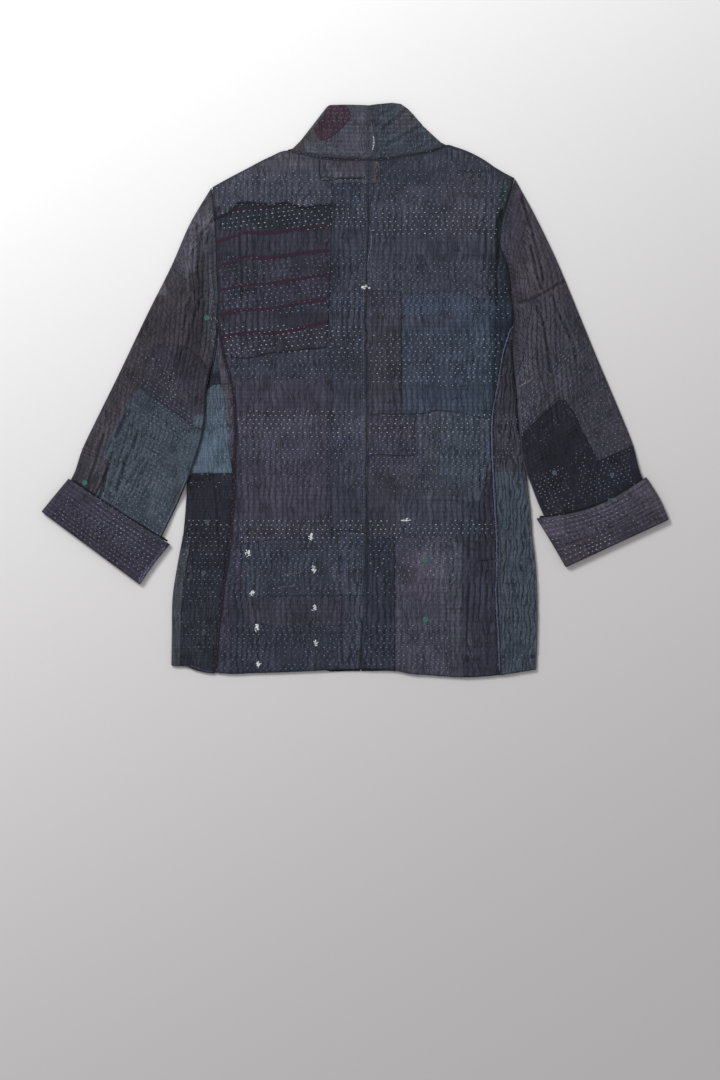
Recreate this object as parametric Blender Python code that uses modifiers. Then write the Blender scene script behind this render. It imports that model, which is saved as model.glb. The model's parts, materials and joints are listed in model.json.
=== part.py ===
"""A patched boro jacket, laid flat on its front with its back up.

Every panel is several layers of old cotton held together by running stitches, so it is a wall of
cloth, and the patches on it are thinner skins. Sizes are millimetres until cloth() makes the
meshes in metres. +X is the wearer's right, +Y runs from the hem to the neck, and +Z is up.
"""

import math

import bmesh
import bpy
import numpy as np

OBJECT = "boro_jacket"
MM = 0.001

# Cloth.
WALL = 1.8  # a panel
SKIN = 1.0  # a patch
GAP = 0.3  # between pieces that meet
TIP_GAP = 1.6  # more at the top of a sleeve, where its wall leans towards the armhole
AIR = 0.5  # between two layers that lie on each other
FLAT = 2 * WALL + AIR  # the height of two layers
FOLD = FLAT / 2  # how far a folded edge rounds out
FOLD_STEPS = 4  # facets round a folded edge
FRONT_GAP = 2.4  # between the two fronts, which have no closure

# Cuffs turn back over the ends of the sleeves.
CUFF_FLAT = FLAT + 2 * (WALL + GAP)
LIP = WALL + GAP  # how far the turned rim rounds out
LIP_STEPS = 3

# Where a sleeve lies on the side of the body, it is lifted over it.
BODY_LIFT = FLAT + 2 * GAP
CUFF_LIFT = WALL + GAP


def table(columns, *rows):
    """Named columns of numbers, from one row for each section."""
    return dict(zip(columns.split(), np.array(rows, float).T, strict=True))


# The body, a row for each level: the folded side edges, where the side panels end on the
# underside, the seams between side panels and back, the seam down the back, and the line where
# the fronts meet.
BODY = table(
    "level edge_left under_left seam_left centre seam_right under_right edge_right front",
    (-400, -257, -225, -197, 6, 203, 221, 253, 8),
    (-340, -256, -224, -192, 11, 201, 222, 255, 8),
    (-290, -255, -222, -186, 13, 198, 221, 255, 8),
    (-238, -247, -215, -179, 15, 199, 218, 252, 8),
    (-205, -241, -210, -175, 16, 199, 216, 248, 8),
    (-175, -238, -206, -172, 17, 197, 215, 246, 8),
    (-115, -234, -202, -169, 15, 194, 212, 239, 8),
    (-92, -232, -200, -169, 16, 193, 209, 237, 8),
    (-37, -222, -196, -169, 17, 193, 207, 235, 8),
    (9, -206.5, -194, -174, 16, 201, 210, 224.9, 8),
    (60, -196, -191, -187, 16, 210, 214, 221, 8),
    (80, -193.6, -191.3, -190.2, 16, 216.6, 217.8, 221, 8),
    (94, -193, -193, -193, 16, 221, 221, 221, 8),
    (132, -191, -191, -191, 16, 219, 219, 219, 8),
    (170, -193, -193, -193, 17, 215, 215, 215, 8),
    (209, -194, -194, -194, 18, 202, 202, 202, 8),
    (240, -196, -196, -196, 20, 205, 205, 205, 8),
    (259, -198, -198, -198, 19, 212, 212, 212, 8),
    (300, -200, -200, -200, 19, 224, 224, 224, 8),
)
LEVELS = tuple(int(level) for level in BODY["level"][1:-1])
SIDE_TOP = 80  # the level where the side panels begin, under the arms
ARMHOLE = (259, 240, 209, 170, 132, 113, 94)  # levels down an armhole, below its shoulder tip

# Lines across the body.
HEM = table(
    "across height",
    (-257, -384),
    (-211, -392),
    (-178, -397),
    (-104, -395),
    (-39, -392),
    (59, -392),
    (105, -399),
    (153, -402),
    (207, -398),
    (253, -391),
)
SHOULDERS = table(
    "across height",
    (-200, 283),
    (-153, 309),
    (-94, 336),
    (-73, 331),
    (-15, 323),
    (20, 323),
    (73, 329),
    (126, 343),
    (181, 322),
    (224, 296),
)
FRONT_NECK = table(
    "across height",
    (-200, 283),
    (-153, 309),
    (-94, 336),
    (-74, 302),
    (-40, 274),
    (8, 260),
    (58, 276),
    (104, 306),
    (126, 343),
    (181, 322),
    (224, 296),
)
YOKE = (0.3, 0.6, 1.0)  # rows between the last level and the shoulder line, as shares of the way
FRONT_LEVELS = tuple(level for level in LEVELS if level <= 209)
FRONT_TIPS = {"front_left": 283, "front_right": 296}  # the armhole's own top

# The columns of each panel's points, as shares of the way from its left edge to its right.
COLUMNS = {
    "back_left": (0, 0.13, 0.25, 0.37, 0.482, 0.61, 0.74, 0.87, 1),
    "back_right": (0, 0.085, 0.24, 0.38, 0.52, 0.62, 0.75, 0.88, 0.94, 1),
    "front_left": (0, 0.17, 0.34, 0.5125, 0.68, 0.84, 1),
    "front_right": (0, 0.17, 0.35, 0.5435, 0.7, 0.85, 1),
    "side_left": (0, 0.3, 0.55, 0.8, 1),
    "side_right": (0, 0.25, 0.5, 0.75, 1),
}
# The column that runs up to each panel's neck corner.
NECK = {"back_left": 0.482, "back_right": 0.52, "front_left": 0.5125, "front_right": 0.5435}
UNDER_COLUMNS = (0, 0.5, 1)

# The sleeves, a row for each section from the armhole to inside the cuff: the folded outer edge,
# the folded inner edge, and the share of the armhole's own curve that the section keeps.
SLEEVES = {
    "left": table(
        "along outer_x outer_y inner_x inner_y curve",
        (0, -200.4, 283, -193.4, 94, 1),
        (1, -231, 233, -195.7, 68, 0.5),
        (2, -257, 174, -201, 38, 0.1),
        (3, -290, 108, -207, 6, 0),
        (4, -330, 24, -212, -55, 0),
        (5, -362, -41, -229, -113, 0),
        (6, -382, -83, -247, -156, 0),
        (7, -397, -124, -271, -206, 0),
        (8, -431, -166, -298, -262, 0),
    ),
    "right": table(
        "along outer_x outer_y inner_x inner_y curve",
        (0, 224.4, 294, 221.4, 94, 1),
        (1, 252, 245, 221.5, 68, 0.5),
        (2, 283, 180, 223, 36, 0.1),
        (3, 315, 103, 226, 0, 0),
        (4, 338, 47, 230, -52, 0),
        (5, 368, -24, 236, -102, 0),
        (6, 389, -76, 249, -140, 0),
        (7, 402, -122, 265, -178, 0),
        (8, 432, -177, 295, -239, 0),
    ),
}
SECTION_ENDS = ("outer_x", "outer_y", "inner_x", "inner_y")
SLEEVE_RINGS = (0, 0.4, 0.8, 1.3, 2, 2.5, 3, 3.5, 4, 4.7, 5.4, 6, 6.45, 6.85, 8)
SLEEVE_COLUMNS = ("shoulder", *ARMHOLE)
CUFF_TAKES = (6.0, 6.85)  # between these sections a sleeve rises onto the lower half of its cuff

# The cuffs, a row for the top edge, the middle and the rim: the two tips, and how far the
# section sags between them.
CUFFS = {
    "left": table(
        "along outer_x outer_y inner_x inner_y sag",
        (0, -401, -124, -259, -216, 2),
        (0.5, -421, -148, -281, -243, 1),
        (1, -438, -169, -300, -271, 0),
    ),
    "right": table(
        "along outer_x outer_y inner_x inner_y sag",
        (0, 408, -122, 254, -180, 13),
        (0.5, 426, -151, 275, -214, 6),
        (1, 439, -180, 294, -247, 0),
    ),
}
CUFF_RINGS = (0, 0.33, 0.67, 1)
CUFF_COLUMNS = (0, 0.2, 0.4, 0.6, 0.8, 1)

# The collar, in two halves with a seam at the back: the top of the fold at each side, the top
# edge at the seam, and how far the seam and the top edge bow.
COLLARS = {
    "collar_left": {"fold_top": (-34, 397), "end_top": (6.8, 334), "hump": 1},
    "collar_right": {"fold_top": (69, 397), "end_top": (9.2, 334), "hump": 4},
}
COLLAR_TOP = (20, 398.5)
COLLAR_BOW = 6
COLLAR_SAG = 10  # of the top edge on the underside
COLLAR_ROWS = (0, 0.25, 0.5, 0.75, 1)

# Soft swells of the upper layers: place, reach across and along, and height.
SWELLS = table(
    "x y reach_x reach_y height",
    (-90, 170, 90, 110, 0.8),
    (-110, -80, 80, 120, 0.6),
    (-80, -300, 110, 80, 0.9),
    (110, 210, 80, 90, 0.7),
    (120, 40, 90, 100, 0.9),
    (100, -180, 100, 90, 0.5),
    (150, -320, 90, 90, 0.8),
    (-215, 215, 60, 80, 0.8),
    (-300, -40, 80, 90, 0.9),
    (250, 190, 60, 90, 1.0),
    (330, -30, 80, 90, 0.8),
    (0, 365, 80, 40, 0.6),
)

# Cloths, as sRGB colours.
CLOTHS = {
    "slate": "#3f4150",
    "mauve": "#4a4651",
    "plum": "#453f4b",
    "wine": "#44262f",
    "earth": "#433f44",
    "teal": "#364449",
    "sea": "#3f4a52",
    "sky": "#4b5a66",
    "navy": "#333d49",
    "night": "#2c2d38",
    "moss": "#24302f",
    "lilac": "#494551",
}
PANEL_CLOTH = {
    "back_left": "slate",
    "back_right": "mauve",
    "side_left": "night",
    "side_right": "plum",
    "front_left": "slate",
    "front_right": "slate",
    "sleeve_left": "earth",
    "sleeve_right": "mauve",
    "cuff_left": "plum",
    "cuff_right": "lilac",
    "collar_left": "slate",
    "collar_right": "teal",
}
# Patches, a row for each: its panel, its first and last row and column there, and its cloth.
# A row is "hem", a level or a share of the way up the yoke, and on a sleeve it is a section, whose
# columns are named for the armhole's levels. A collar's columns run from its seam to its fold.
PATCHES = (
    ("patch_striped", "back_left", 60, 259, 0, 0.74, "plum"),
    ("patch_column_left", "back_left", -205, 259, 0.74, 1, "teal"),
    ("patch_plum_left", "back_left", -205, 9, 0, 0.74, "plum"),
    ("patch_teal_low", "back_left", -290, -205, 0.13, 1, "teal"),
    ("patch_russet_low", "back_left", -340, -290, 0.13, 1, "plum"),
    ("patch_neck_left", "back_left", 0.6, 1.0, 0.74, 1, "mauve"),
    ("patch_neck_right", "back_right", 0.6, 1.0, 0, 0.085, "mauve"),
    ("patch_armhole", "back_right", 209, 1.0, 0.94, 1, "moss"),
    ("patch_navy", "back_right", -37, 132, 0.24, 0.88, "navy"),
    ("patch_column_right", "back_right", -37, 132, 0, 0.24, "earth"),
    ("patch_plum_right", "back_right", -92, -37, 0, 0.38, "plum"),
    ("patch_field", "back_right", -175, -37, 0.38, 0.88, "sea"),
    ("patch_brown", "back_right", -238, -115, 0.88, 1, "earth"),
    ("patch_rose", "back_right", "hem", -205, 0.24, 0.62, "plum"),
    ("patch_dark_strip", "back_right", "hem", -205, 0, 0.24, "night"),
    ("patch_ripple_strip", "back_right", "hem", -238, 0.75, 1, "slate"),
    ("patch_mauve_side", "side_left", 9, 80, 0, 0.8, "mauve"),
    ("patch_sky_side", "side_left", -115, 9, 0, 0.8, "sky"),
    ("patch_edge_side", "side_left", "hem", -205, 0.8, 1, "sea"),
    ("patch_sea_side", "side_right", "hem", -115, 0, 1, "teal"),
    ("patch_sea_sleeve", "sleeve_left", 4, 6.85, 240, 94, "sea"),
    ("patch_shade_sleeve", "sleeve_left", 3, 4, 240, 94, "plum"),
    ("patch_wrist_scrap", "sleeve_left", 6, 6.85, "shoulder", 240, "night"),
    ("patch_night_sleeve", "sleeve_right", 4, 6.85, 170, 94, "night"),
    ("patch_night_wrist", "sleeve_right", 6, 6.85, "shoulder", 170, "night"),
    ("patch_wine", "collar_left", 0.5, 1, 0.5, 1, "wine"),
    ("patch_collar_slate", "collar_left", 0, 0.5, 0.5, 1, "sea"),
)


def smooth(at, places, values):
    """A curve through the values at these places, whose slope at each is the mean beside it."""
    slopes = np.gradient(values, places)
    first = np.clip(np.searchsorted(places, at) - 1, 0, len(places) - 2)
    step = places[first + 1] - places[first]
    t = np.clip((at - places[first]) / step, 0, 1)
    rise = t * t * (3 - 2 * t)
    bend = step * t * (1 - t)
    lean = slopes[first] * (1 - t) - slopes[first + 1] * t
    return values[first] * (1 - rise) + values[first + 1] * rise + bend * lean


def ease(value, low, high):
    """0 up to low and 1 from high, with a soft turn at each end; also for low over high."""
    t = np.clip((value - low) / (high - low), 0, 1)
    return t * t * (3 - 2 * t)


def edge(column, shift=0.0):
    """One of the body's edges as a function of the level."""
    return lambda level: smooth(level, BODY["level"], BODY[column]) + shift


def swell(x, y):
    """How far the upper layers stand up here."""
    total = 0.0
    for i in range(len(SWELLS["x"])):
        across = (x - SWELLS["x"][i]) / SWELLS["reach_x"][i]
        along = (y - SWELLS["y"][i]) / SWELLS["reach_y"][i]
        total = total + SWELLS["height"][i] * np.exp(-(across**2 + along**2))
    return total


def lifted(x, y):
    """How high a sleeve lies: on the side of the body under the arm, and on the floor past it."""
    side = np.where(x < 0, -1.0, 1.0)
    body = np.where(x < 0, edge("edge_left")(y), edge("edge_right")(y))
    past = side * (x - body)
    under_arm = ease(y, 60, 12)
    over_end = ease(y, -168, -132)
    return (BODY_LIFT + swell(x, y)) * under_arm * over_end * ease(past, 55, 14)


def cloth(name, cloth_name, points, wall, side=-1, closed=False):
    """A wall of cloth through rows of points, in millimetres, as an object of its own.

    The points are its outer face, and their first cell faces up. With side -1 the wall lies behind
    that face, and with 1 before it. Closed rows are rings.
    """
    facing = np.cross(points[0, 1] - points[0, 0], points[1, 0] - points[0, 0])[2]
    laid = points if facing > 0 else points[:, ::-1]
    rows, columns = laid.shape[:2]
    made = bmesh.new()
    grid = [[made.verts.new(laid[i, j] * MM) for j in range(columns)] for i in range(rows)]
    for i in range(rows - 1):
        for j in range(columns if closed else columns - 1):
            k = (j + 1) % columns
            made.faces.new((grid[i][j], grid[i][k], grid[i + 1][k], grid[i + 1][j]))
    mesh = bpy.data.meshes.new(name)
    made.to_mesh(mesh)
    made.free()
    mesh.materials.append(material(name, CLOTHS[cloth_name]))
    piece = bpy.data.objects.new(name, mesh)
    bpy.data.collections[OBJECT].objects.link(piece)
    piece.parent = bpy.data.objects[OBJECT]
    solid = piece.modifiers.new("wall", "SOLIDIFY")
    solid.thickness = wall * MM
    solid.offset = side


def material(name, colour):
    """A matt cloth of one sRGB colour."""
    parts = [int(colour[i : i + 2], 16) / 255 for i in (1, 3, 5)]
    linear = [c / 12.92 if c <= 0.04045 else ((c + 0.055) / 1.055) ** 2.4 for c in parts]
    made = bpy.data.materials.new(name)
    made.use_nodes = True
    shader = made.node_tree.nodes["Principled BSDF"]
    shader.inputs["Base Color"].default_value = (*linear, 1)
    shader.inputs["Roughness"].default_value = 0.9
    shader.inputs["Metallic"].default_value = 0.0
    return made


def raised(outline, height):
    """Points of an outline at a height, which may differ from point to point."""
    return np.dstack([outline, height + 0 * outline[..., 0]])


def body_outline(shares, left, right, levels, yoke=(), bottom=HEM, top=SHOULDERS):
    """Where a body panel's points lie: a row on the hem, one for each level, and the yoke's."""
    shares = np.array(shares)

    def across(level):
        return left(level) * (1 - shares) + right(level) * shares

    def onto(line, from_level, share):
        reach = np.full(len(shares), float(from_level))
        for _ in range(4):
            reach = np.interp(across(reach), line["across"], line["height"])
        level = from_level + share * (reach - from_level)
        return np.column_stack([across(level), level])

    rows = [onto(bottom, levels[0], 1.0)]
    for level in levels:
        flat = np.full(len(shares), float(level))
        rows.append(np.column_stack([across(flat), flat]))
    rows += [onto(top, levels[-1], share) for share in yoke]
    return np.array(rows)


def back(name, left, right):
    """Half the back, lying on the front."""
    outline = body_outline(COLUMNS[name], left, right, LEVELS, YOKE)
    points = raised(outline, FLAT + swell(outline[..., 0], outline[..., 1]))
    cloth(name, PANEL_CLOTH[name], points, WALL)
    return points


def front(name, left, right):
    """A front, face down on the floor, so that its wall stands up from its points."""
    low, tip = FRONT_LEVELS[-1], FRONT_TIPS[name]
    yoke = [(level - low) / (tip - low) for level in LEVELS if level > low]
    outline = body_outline(COLUMNS[name], left, right, FRONT_LEVELS, (*yoke, 1), top=FRONT_NECK)
    points = raised(outline, 0)
    cloth(name, PANEL_CLOTH[name], points, WALL, side=1)
    return points


def fold(upper, lower, outward, reach=FOLD):
    """The points round a folded edge, between the ends of its two layers."""
    middle = (upper + lower) / 2
    half = (upper - lower) / 2
    turns = [math.pi * k / FOLD_STEPS for k in range(1, FOLD_STEPS)]
    return [middle + half * math.cos(t) + outward * reach * math.sin(t) for t in turns]


def side(name, seam, folded, under, outward):
    """A side panel: from its seam with the back, round the folded side, to the underside."""
    levels = [level for level in LEVELS if level <= SIDE_TOP]
    upper = body_outline(COLUMNS[name], seam, folded, levels)
    lower = body_outline(UNDER_COLUMNS, folded, under, levels)
    upper = raised(upper, FLAT + swell(upper[..., 0], upper[..., 1]))
    lower = raised(lower, 0)
    turned = fold(upper[:, -1], lower[:, 0], np.array([outward, 0, 0]))
    points = np.concatenate([upper, np.stack(turned, axis=1), lower], axis=1)
    cloth(name, PANEL_CLOTH[name], points, WALL)
    return upper


def between(rows, along):
    """The two folded edges of a section, at any place along a table of sections."""
    at = [smooth(np.float64(along), rows["along"], rows[name]) for name in SECTION_ENDS]
    return np.array(at[:2]), np.array(at[2:])


def tube_ring(middle, low, high, reach):
    """A flat ring of cloth: its upper layer, a fold, its lower layer and a fold."""
    outward = (middle[0] - middle[-1]) / np.linalg.norm(middle[0] - middle[-1])
    inside = middle.copy()
    inside[0] -= outward * reach
    inside[-1] += outward * reach
    upper = np.column_stack([inside, high])
    lower = np.column_stack([inside, low])
    turn = np.array([*outward, 0])
    first = fold(upper[-1], lower[-1], -turn, reach)
    second = fold(lower[0], upper[0], turn, reach)
    return np.array([*upper, *first, *lower[::-1], *second])


def sleeve(name, rows, armhole):
    """A flattened tube from the armhole to inside the cuff."""
    start, end = between(rows, 0)
    down = np.array([start[1], *ARMHOLE])
    shares = ((down - start[1]) / (end[1] - start[1]))[:, None]
    chord = start * (1 - shares) + end * shares
    bulge = armhole(chord[:, 1]) - chord[:, 0]
    bulge[0] += math.copysign(TIP_GAP, start[0])
    rings = []
    for along in SLEEVE_RINGS:
        outer, inner = between(rows, along)
        middle = outer * (1 - shares) + inner * shares
        middle[:, 0] += bulge * smooth(np.float64(along), rows["along"], rows["curve"])
        low = lifted(middle[:, 0], middle[:, 1]) + CUFF_LIFT * ease(along, *CUFF_TAKES)
        high = low + FLAT + swell(middle[:, 0], middle[:, 1]) * ease(along, *CUFF_TAKES[::-1])
        rings.append(tube_ring(middle, low, high, FOLD))
    points = np.array(rings)
    cloth(name, PANEL_CLOTH[name], points, WALL, closed=True)
    return points[:, : len(SLEEVE_COLUMNS)]


def cuff(name, rows, side_sign):
    """A turned-back cuff: a flat tube round the end of the sleeve, with a rounded rim."""
    shares = np.array(CUFF_COLUMNS)[:, None]

    def ring(along, past=0.0, closer=0.0):
        outer, inner = between(rows, along)
        across = (inner - outer) / np.linalg.norm(inner - outer)
        down = -side_sign * np.array([across[1], -across[0]])
        sag = smooth(np.float64(along), rows["along"], rows["sag"]) * np.sin(math.pi * shares)
        middle = outer * (1 - shares) + inner * shares + (sag + past) * down
        middle[0] += closer * across
        middle[-1] -= closer * across
        low = np.full(len(shares), closer)
        return tube_ring(middle, low, CUFF_FLAT - low, CUFF_FLAT / 2 - closer)

    rings = [ring(along) for along in CUFF_RINGS]
    for k in range(1, LIP_STEPS + 1):
        turn = math.pi / 2 * k / LIP_STEPS
        rings.append(ring(1.0, LIP * math.sin(turn), LIP * (1 - math.cos(turn))))
    cloth(name, PANEL_CLOTH[name], np.array(rings), WALL, closed=True)


def neck_edge(name, points):
    """The top edge of a back or a front, from its neck corner to the middle."""
    top = points[-1, :, :2]
    corner = COLUMNS[name].index(NECK[name])
    return top[corner:] if name.endswith("left") else top[corner::-1]


def collar(name, neck_back, neck_front, side_sign):
    """Half the collar: up from the back's neck, round the fold, and down along the front's."""
    sizes = COLLARS[name]
    start_back = neck_back + (0, GAP)
    start_front = neck_front + (0, GAP)
    fold_top = np.array(sizes["fold_top"], float)
    slope = fold_top - start_back[0]
    outward = np.array([side_sign * slope[1], abs(slope[0]), 0]) / np.linalg.norm(slope)
    to_seam = np.linspace(0, 1, len(neck_back))[:, None]
    to_end = np.linspace(0, 1, len(neck_front))[:, None]
    seam_top = np.array(COLLAR_TOP) + (side_sign * GAP / 2, 0)
    top_back = fold_top * (1 - to_seam) + seam_top * to_seam
    top_back = top_back + (0, sizes["hump"]) * np.sin(math.pi * to_seam)
    top_front = fold_top * (1 - to_end) + np.array(sizes["end_top"]) * to_end
    top_front = top_front - (0, COLLAR_SAG) * np.sin(math.pi * to_end)
    rows = []
    for share in COLLAR_ROWS:
        bow = (COLLAR_BOW * math.sin(math.pi * share), 0) * to_seam
        upper = start_back * (1 - share) + top_back * share + bow
        under = start_front * (1 - share) + top_front * share
        upper = np.column_stack([upper, FLAT + swell(upper[:, 0], upper[:, 1])])
        under = np.column_stack([under, 0 * under[:, 0]])
        turned = fold(upper[0], under[0], outward)
        rows.append([*upper[::-1], *turned, *under])
    points = np.array(rows)
    cloth(name, PANEL_CLOTH[name], points, WALL)
    return points[:, : len(neck_back)]


def inset(points, amount):
    """The points with each edge of them moved in."""
    moved = points.copy()
    for _ in range(2):
        for end, beside in ((0, 1), (-1, -2)):
            step = moved[beside] - moved[end]
            moved[end] += amount * step / np.linalg.norm(step, axis=-1, keepdims=True)
        moved = np.swapaxes(moved, 0, 1)
    return moved


def names_of(panel, upper):
    """What the patch table calls the rows and the columns of a panel's upper layer."""
    kind = panel.split("_")[0]
    if kind == "sleeve":
        return SLEEVE_RINGS, SLEEVE_COLUMNS
    if kind == "collar":
        return COLLAR_ROWS, tuple(np.linspace(0, 1, upper.shape[1]))
    return ("hem", *LEVELS, *YOKE), COLUMNS[panel]


def patch(name, panel, upper, low, high, first, last, cloth_name):
    """A patch on some rows and columns of a panel's upper layer, moved out."""
    row_names, column_names = names_of(panel, upper)
    rows = slice(row_names.index(low), row_names.index(high) + 1)
    columns = slice(column_names.index(first), column_names.index(last) + 1)
    part = inset(upper[rows, columns], GAP / 2)
    part[..., 2] += GAP + SKIN
    cloth(name, cloth_name, part, SKIN)


def start():
    """An empty scene with the object's collection, and an empty that all pieces hang from."""
    for old in list(bpy.data.objects):
        bpy.data.objects.remove(old)
    pieces = bpy.data.collections.new(OBJECT)
    bpy.context.scene.collection.children.link(pieces)
    pieces.objects.link(bpy.data.objects.new(OBJECT, None))


def centre():
    """Moves the whole so that the middle of its box is over the origin."""
    bpy.context.view_layer.update()
    graph = bpy.context.evaluated_depsgraph_get()
    corners = []
    for piece in bpy.data.collections[OBJECT].objects:
        if piece.type == "MESH":
            corners += [tuple(corner) for corner in piece.evaluated_get(graph).bound_box]
    corners = np.array(corners)
    middle = (corners.min(axis=0) + corners.max(axis=0)) / 2
    bpy.data.objects[OBJECT].location = (-middle[0], -middle[1], -corners[:, 2].min())


def half_jacket(hand, sign):
    """The panels on one side of the middle, which is the -X side for sign -1."""
    half = sign * GAP / 2

    def panel(kind, make, outer, inner):
        # A panel's columns run from left to right.
        edges = (outer, inner) if sign < 0 else (inner, outer)
        return make(f"{kind}_{hand}", *edges)

    seam_inside = edge(f"seam_{hand}", -half)
    seam_outside = edge(f"seam_{hand}", half)
    under_inside = edge(f"under_{hand}", -half)
    under_outside = edge(f"under_{hand}", half)
    folded = edge(f"edge_{hand}", -sign * FOLD)
    upper = {
        "back": panel("back", back, seam_inside, edge("centre", half)),
        "front": panel("front", front, under_inside, edge("front", sign * FRONT_GAP / 2)),
        "side": side(f"side_{hand}", seam_outside, folded, under_outside, sign),
        "sleeve": sleeve(f"sleeve_{hand}", SLEEVES[hand], seam_outside),
    }
    cuff(f"cuff_{hand}", CUFFS[hand], sign)
    neck = [neck_edge(f"{kind}_{hand}", upper[kind]) for kind in ("back", "front")]
    upper["collar"] = collar(f"collar_{hand}", *neck, sign)
    return {f"{kind}_{hand}": points for kind, points in upper.items()}


def main():
    start()
    upper = half_jacket("left", -1) | half_jacket("right", 1)
    for name, panel, *place in PATCHES:
        patch(name, panel, upper[panel], *place)
    centre()


main()
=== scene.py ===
# %% [markdown]
# # A patched boro jacket, laid flat with its back up
#
# Boro is old cotton that has been mended for years: worn layers, laid over each other and held
# by rows of running stitches. This jacket is made of such cloth, so its look comes from four
# things: the outline of the panels, the puffs between the stitches, the patches in other
# faded dyes, and the thread itself. Each has its own cells below.
#
# Lengths are millimetres on the maker's table, with X to the wearer's right and Y from the hem
# to the collar. One function turns them into the frame's metres.

import json
import math

import bpy
import numpy as np
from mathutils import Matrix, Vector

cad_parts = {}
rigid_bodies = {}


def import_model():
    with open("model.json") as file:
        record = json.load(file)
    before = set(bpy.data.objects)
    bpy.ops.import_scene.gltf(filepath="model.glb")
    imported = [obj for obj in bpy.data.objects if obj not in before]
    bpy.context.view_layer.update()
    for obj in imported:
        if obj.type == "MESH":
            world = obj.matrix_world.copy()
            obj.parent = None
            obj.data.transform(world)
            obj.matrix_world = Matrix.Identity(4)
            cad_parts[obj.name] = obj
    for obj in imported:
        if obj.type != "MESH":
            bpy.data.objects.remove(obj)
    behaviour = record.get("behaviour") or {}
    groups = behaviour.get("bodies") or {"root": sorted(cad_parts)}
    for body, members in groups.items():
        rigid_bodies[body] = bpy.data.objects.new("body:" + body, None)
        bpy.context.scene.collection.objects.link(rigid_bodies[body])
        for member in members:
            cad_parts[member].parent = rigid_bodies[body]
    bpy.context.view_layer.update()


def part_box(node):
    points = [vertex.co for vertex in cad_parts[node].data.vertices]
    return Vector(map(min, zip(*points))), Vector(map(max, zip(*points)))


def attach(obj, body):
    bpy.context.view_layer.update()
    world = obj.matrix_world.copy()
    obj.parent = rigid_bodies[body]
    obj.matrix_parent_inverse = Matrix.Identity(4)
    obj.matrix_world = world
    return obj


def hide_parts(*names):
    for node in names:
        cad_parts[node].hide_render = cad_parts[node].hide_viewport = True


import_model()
MM = 0.001

# %% [markdown]
# Everything is worked out from a few small tables, with a named column for each size and a row
# for each level or section. Between the rows a smooth curve is drawn. Old cloth is never even,
# so a soft random field is needed too: random heights on a coarse net, eased between its knots.
# Its seed is fixed, so the jacket comes out the same each time.

# %% Tables, curves and unevenness
NET = 97  # knots each way in a net of random heights


def table(columns, *rows):
    """Named columns of numbers, from one row for each section."""
    return dict(zip(columns.split(), np.array(rows, float).T, strict=True))


def ease(value, low, high):
    """0 up to low and 1 from high, with a soft turn at each end; also for low over high."""
    t = np.clip((np.asarray(value, float) - low) / (high - low), 0, 1)
    return t * t * (3 - 2 * t)


def even(count):
    """So many evenly spaced shares, from 0 to 1."""
    return np.linspace(0, 1, count)


def smooth(at, places, values):
    """A curve through the values at these places, whose slope at each is the mean beside it."""
    at = np.asarray(at, float)
    slopes = np.gradient(values, places)
    first = np.clip(np.searchsorted(places, at) - 1, 0, len(places) - 2)
    step = places[first + 1] - places[first]
    t = np.clip((at - places[first]) / step, 0, 1)
    rise = t * t * (3 - 2 * t)
    bend = step * t * (1 - t)
    lean = slopes[first] * (1 - t) - slopes[first + 1] * t
    return values[first] * (1 - rise) + values[first + 1] * rise + bend * lean


def noise(x, y, reach_x, reach_y, seed):
    """Soft random hills between -1 and 1, so many millimetres across; each seed has its own."""
    knots = np.random.default_rng(seed).uniform(-1, 1, (NET, NET))
    u = np.asarray(x, float) / reach_x + NET / 2
    v = np.asarray(y, float) / reach_y + NET / 2
    i, j = np.floor(u).astype(int), np.floor(v).astype(int)
    s, t = ease(u - i, 0, 1), ease(v - j, 0, 1)
    near, far = (
        knots[i % NET, k % NET] * (1 - s) + knots[(i + 1) % NET, k % NET] * s for k in (j, j + 1)
    )
    return near * (1 - t) + far * t


print("unevenness at the middle:", round(float(noise(0, 0, 30, 30, 1)), 3))

# %% [markdown]
# ## The sizes of the jacket
#
# The body is three layers deep where it lies: the fronts below, then the back and the side
# panels, then the patches. BODY gives its edges for each level, the lines give the hem, the
# shoulders and the neck, and the sleeves and cuffs have a row for each section.

# %% Sizes of the body
WALL = 1.8  # a panel of quilted layers
GAP = 0.3
FLAT = 2 * WALL + 0.5  # two panels that lie on each other
FLOOR_GAP = 0.5  # room below the underside for its stitches

BODY = table(
    "level edge_left under_left seam_left centre seam_right under_right edge_right front",
    (-400, -257, -225, -197, 6, 203, 221, 253, 8),
    (-340, -256, -224, -192, 11, 201, 222, 255, 8),
    (-290, -255, -222, -186, 13, 198, 221, 255, 8),
    (-238, -247, -215, -179, 15, 199, 218, 252, 8),
    (-205, -241, -210, -175, 16, 199, 216, 248, 8),
    (-175, -238, -206, -172, 17, 197, 215, 246, 8),
    (-115, -234, -202, -169, 15, 194, 212, 239, 8),
    (-92, -232, -200, -169, 16, 193, 209, 237, 8),
    (-37, -222, -196, -169, 17, 193, 207, 235, 8),
    (9, -206.5, -194, -174, 16, 201, 210, 224.9, 8),
    (60, -196, -191, -187, 16, 210, 214, 221, 8),
    (80, -193.6, -191.3, -190.2, 16, 216.6, 217.8, 221, 8),
    (94, -193, -193, -193, 16, 221, 221, 221, 8),
    (132, -191, -191, -191, 16, 219, 219, 219, 8),
    (170, -193, -193, -193, 17, 215, 215, 215, 8),
    (209, -194, -194, -194, 18, 202, 202, 202, 8),
    (240, -196, -196, -196, 20, 205, 205, 205, 8),
    (259, -198, -198, -198, 19, 212, 212, 212, 8),
    (300, -200, -200, -200, 19, 224, 224, 224, 8),
)
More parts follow.
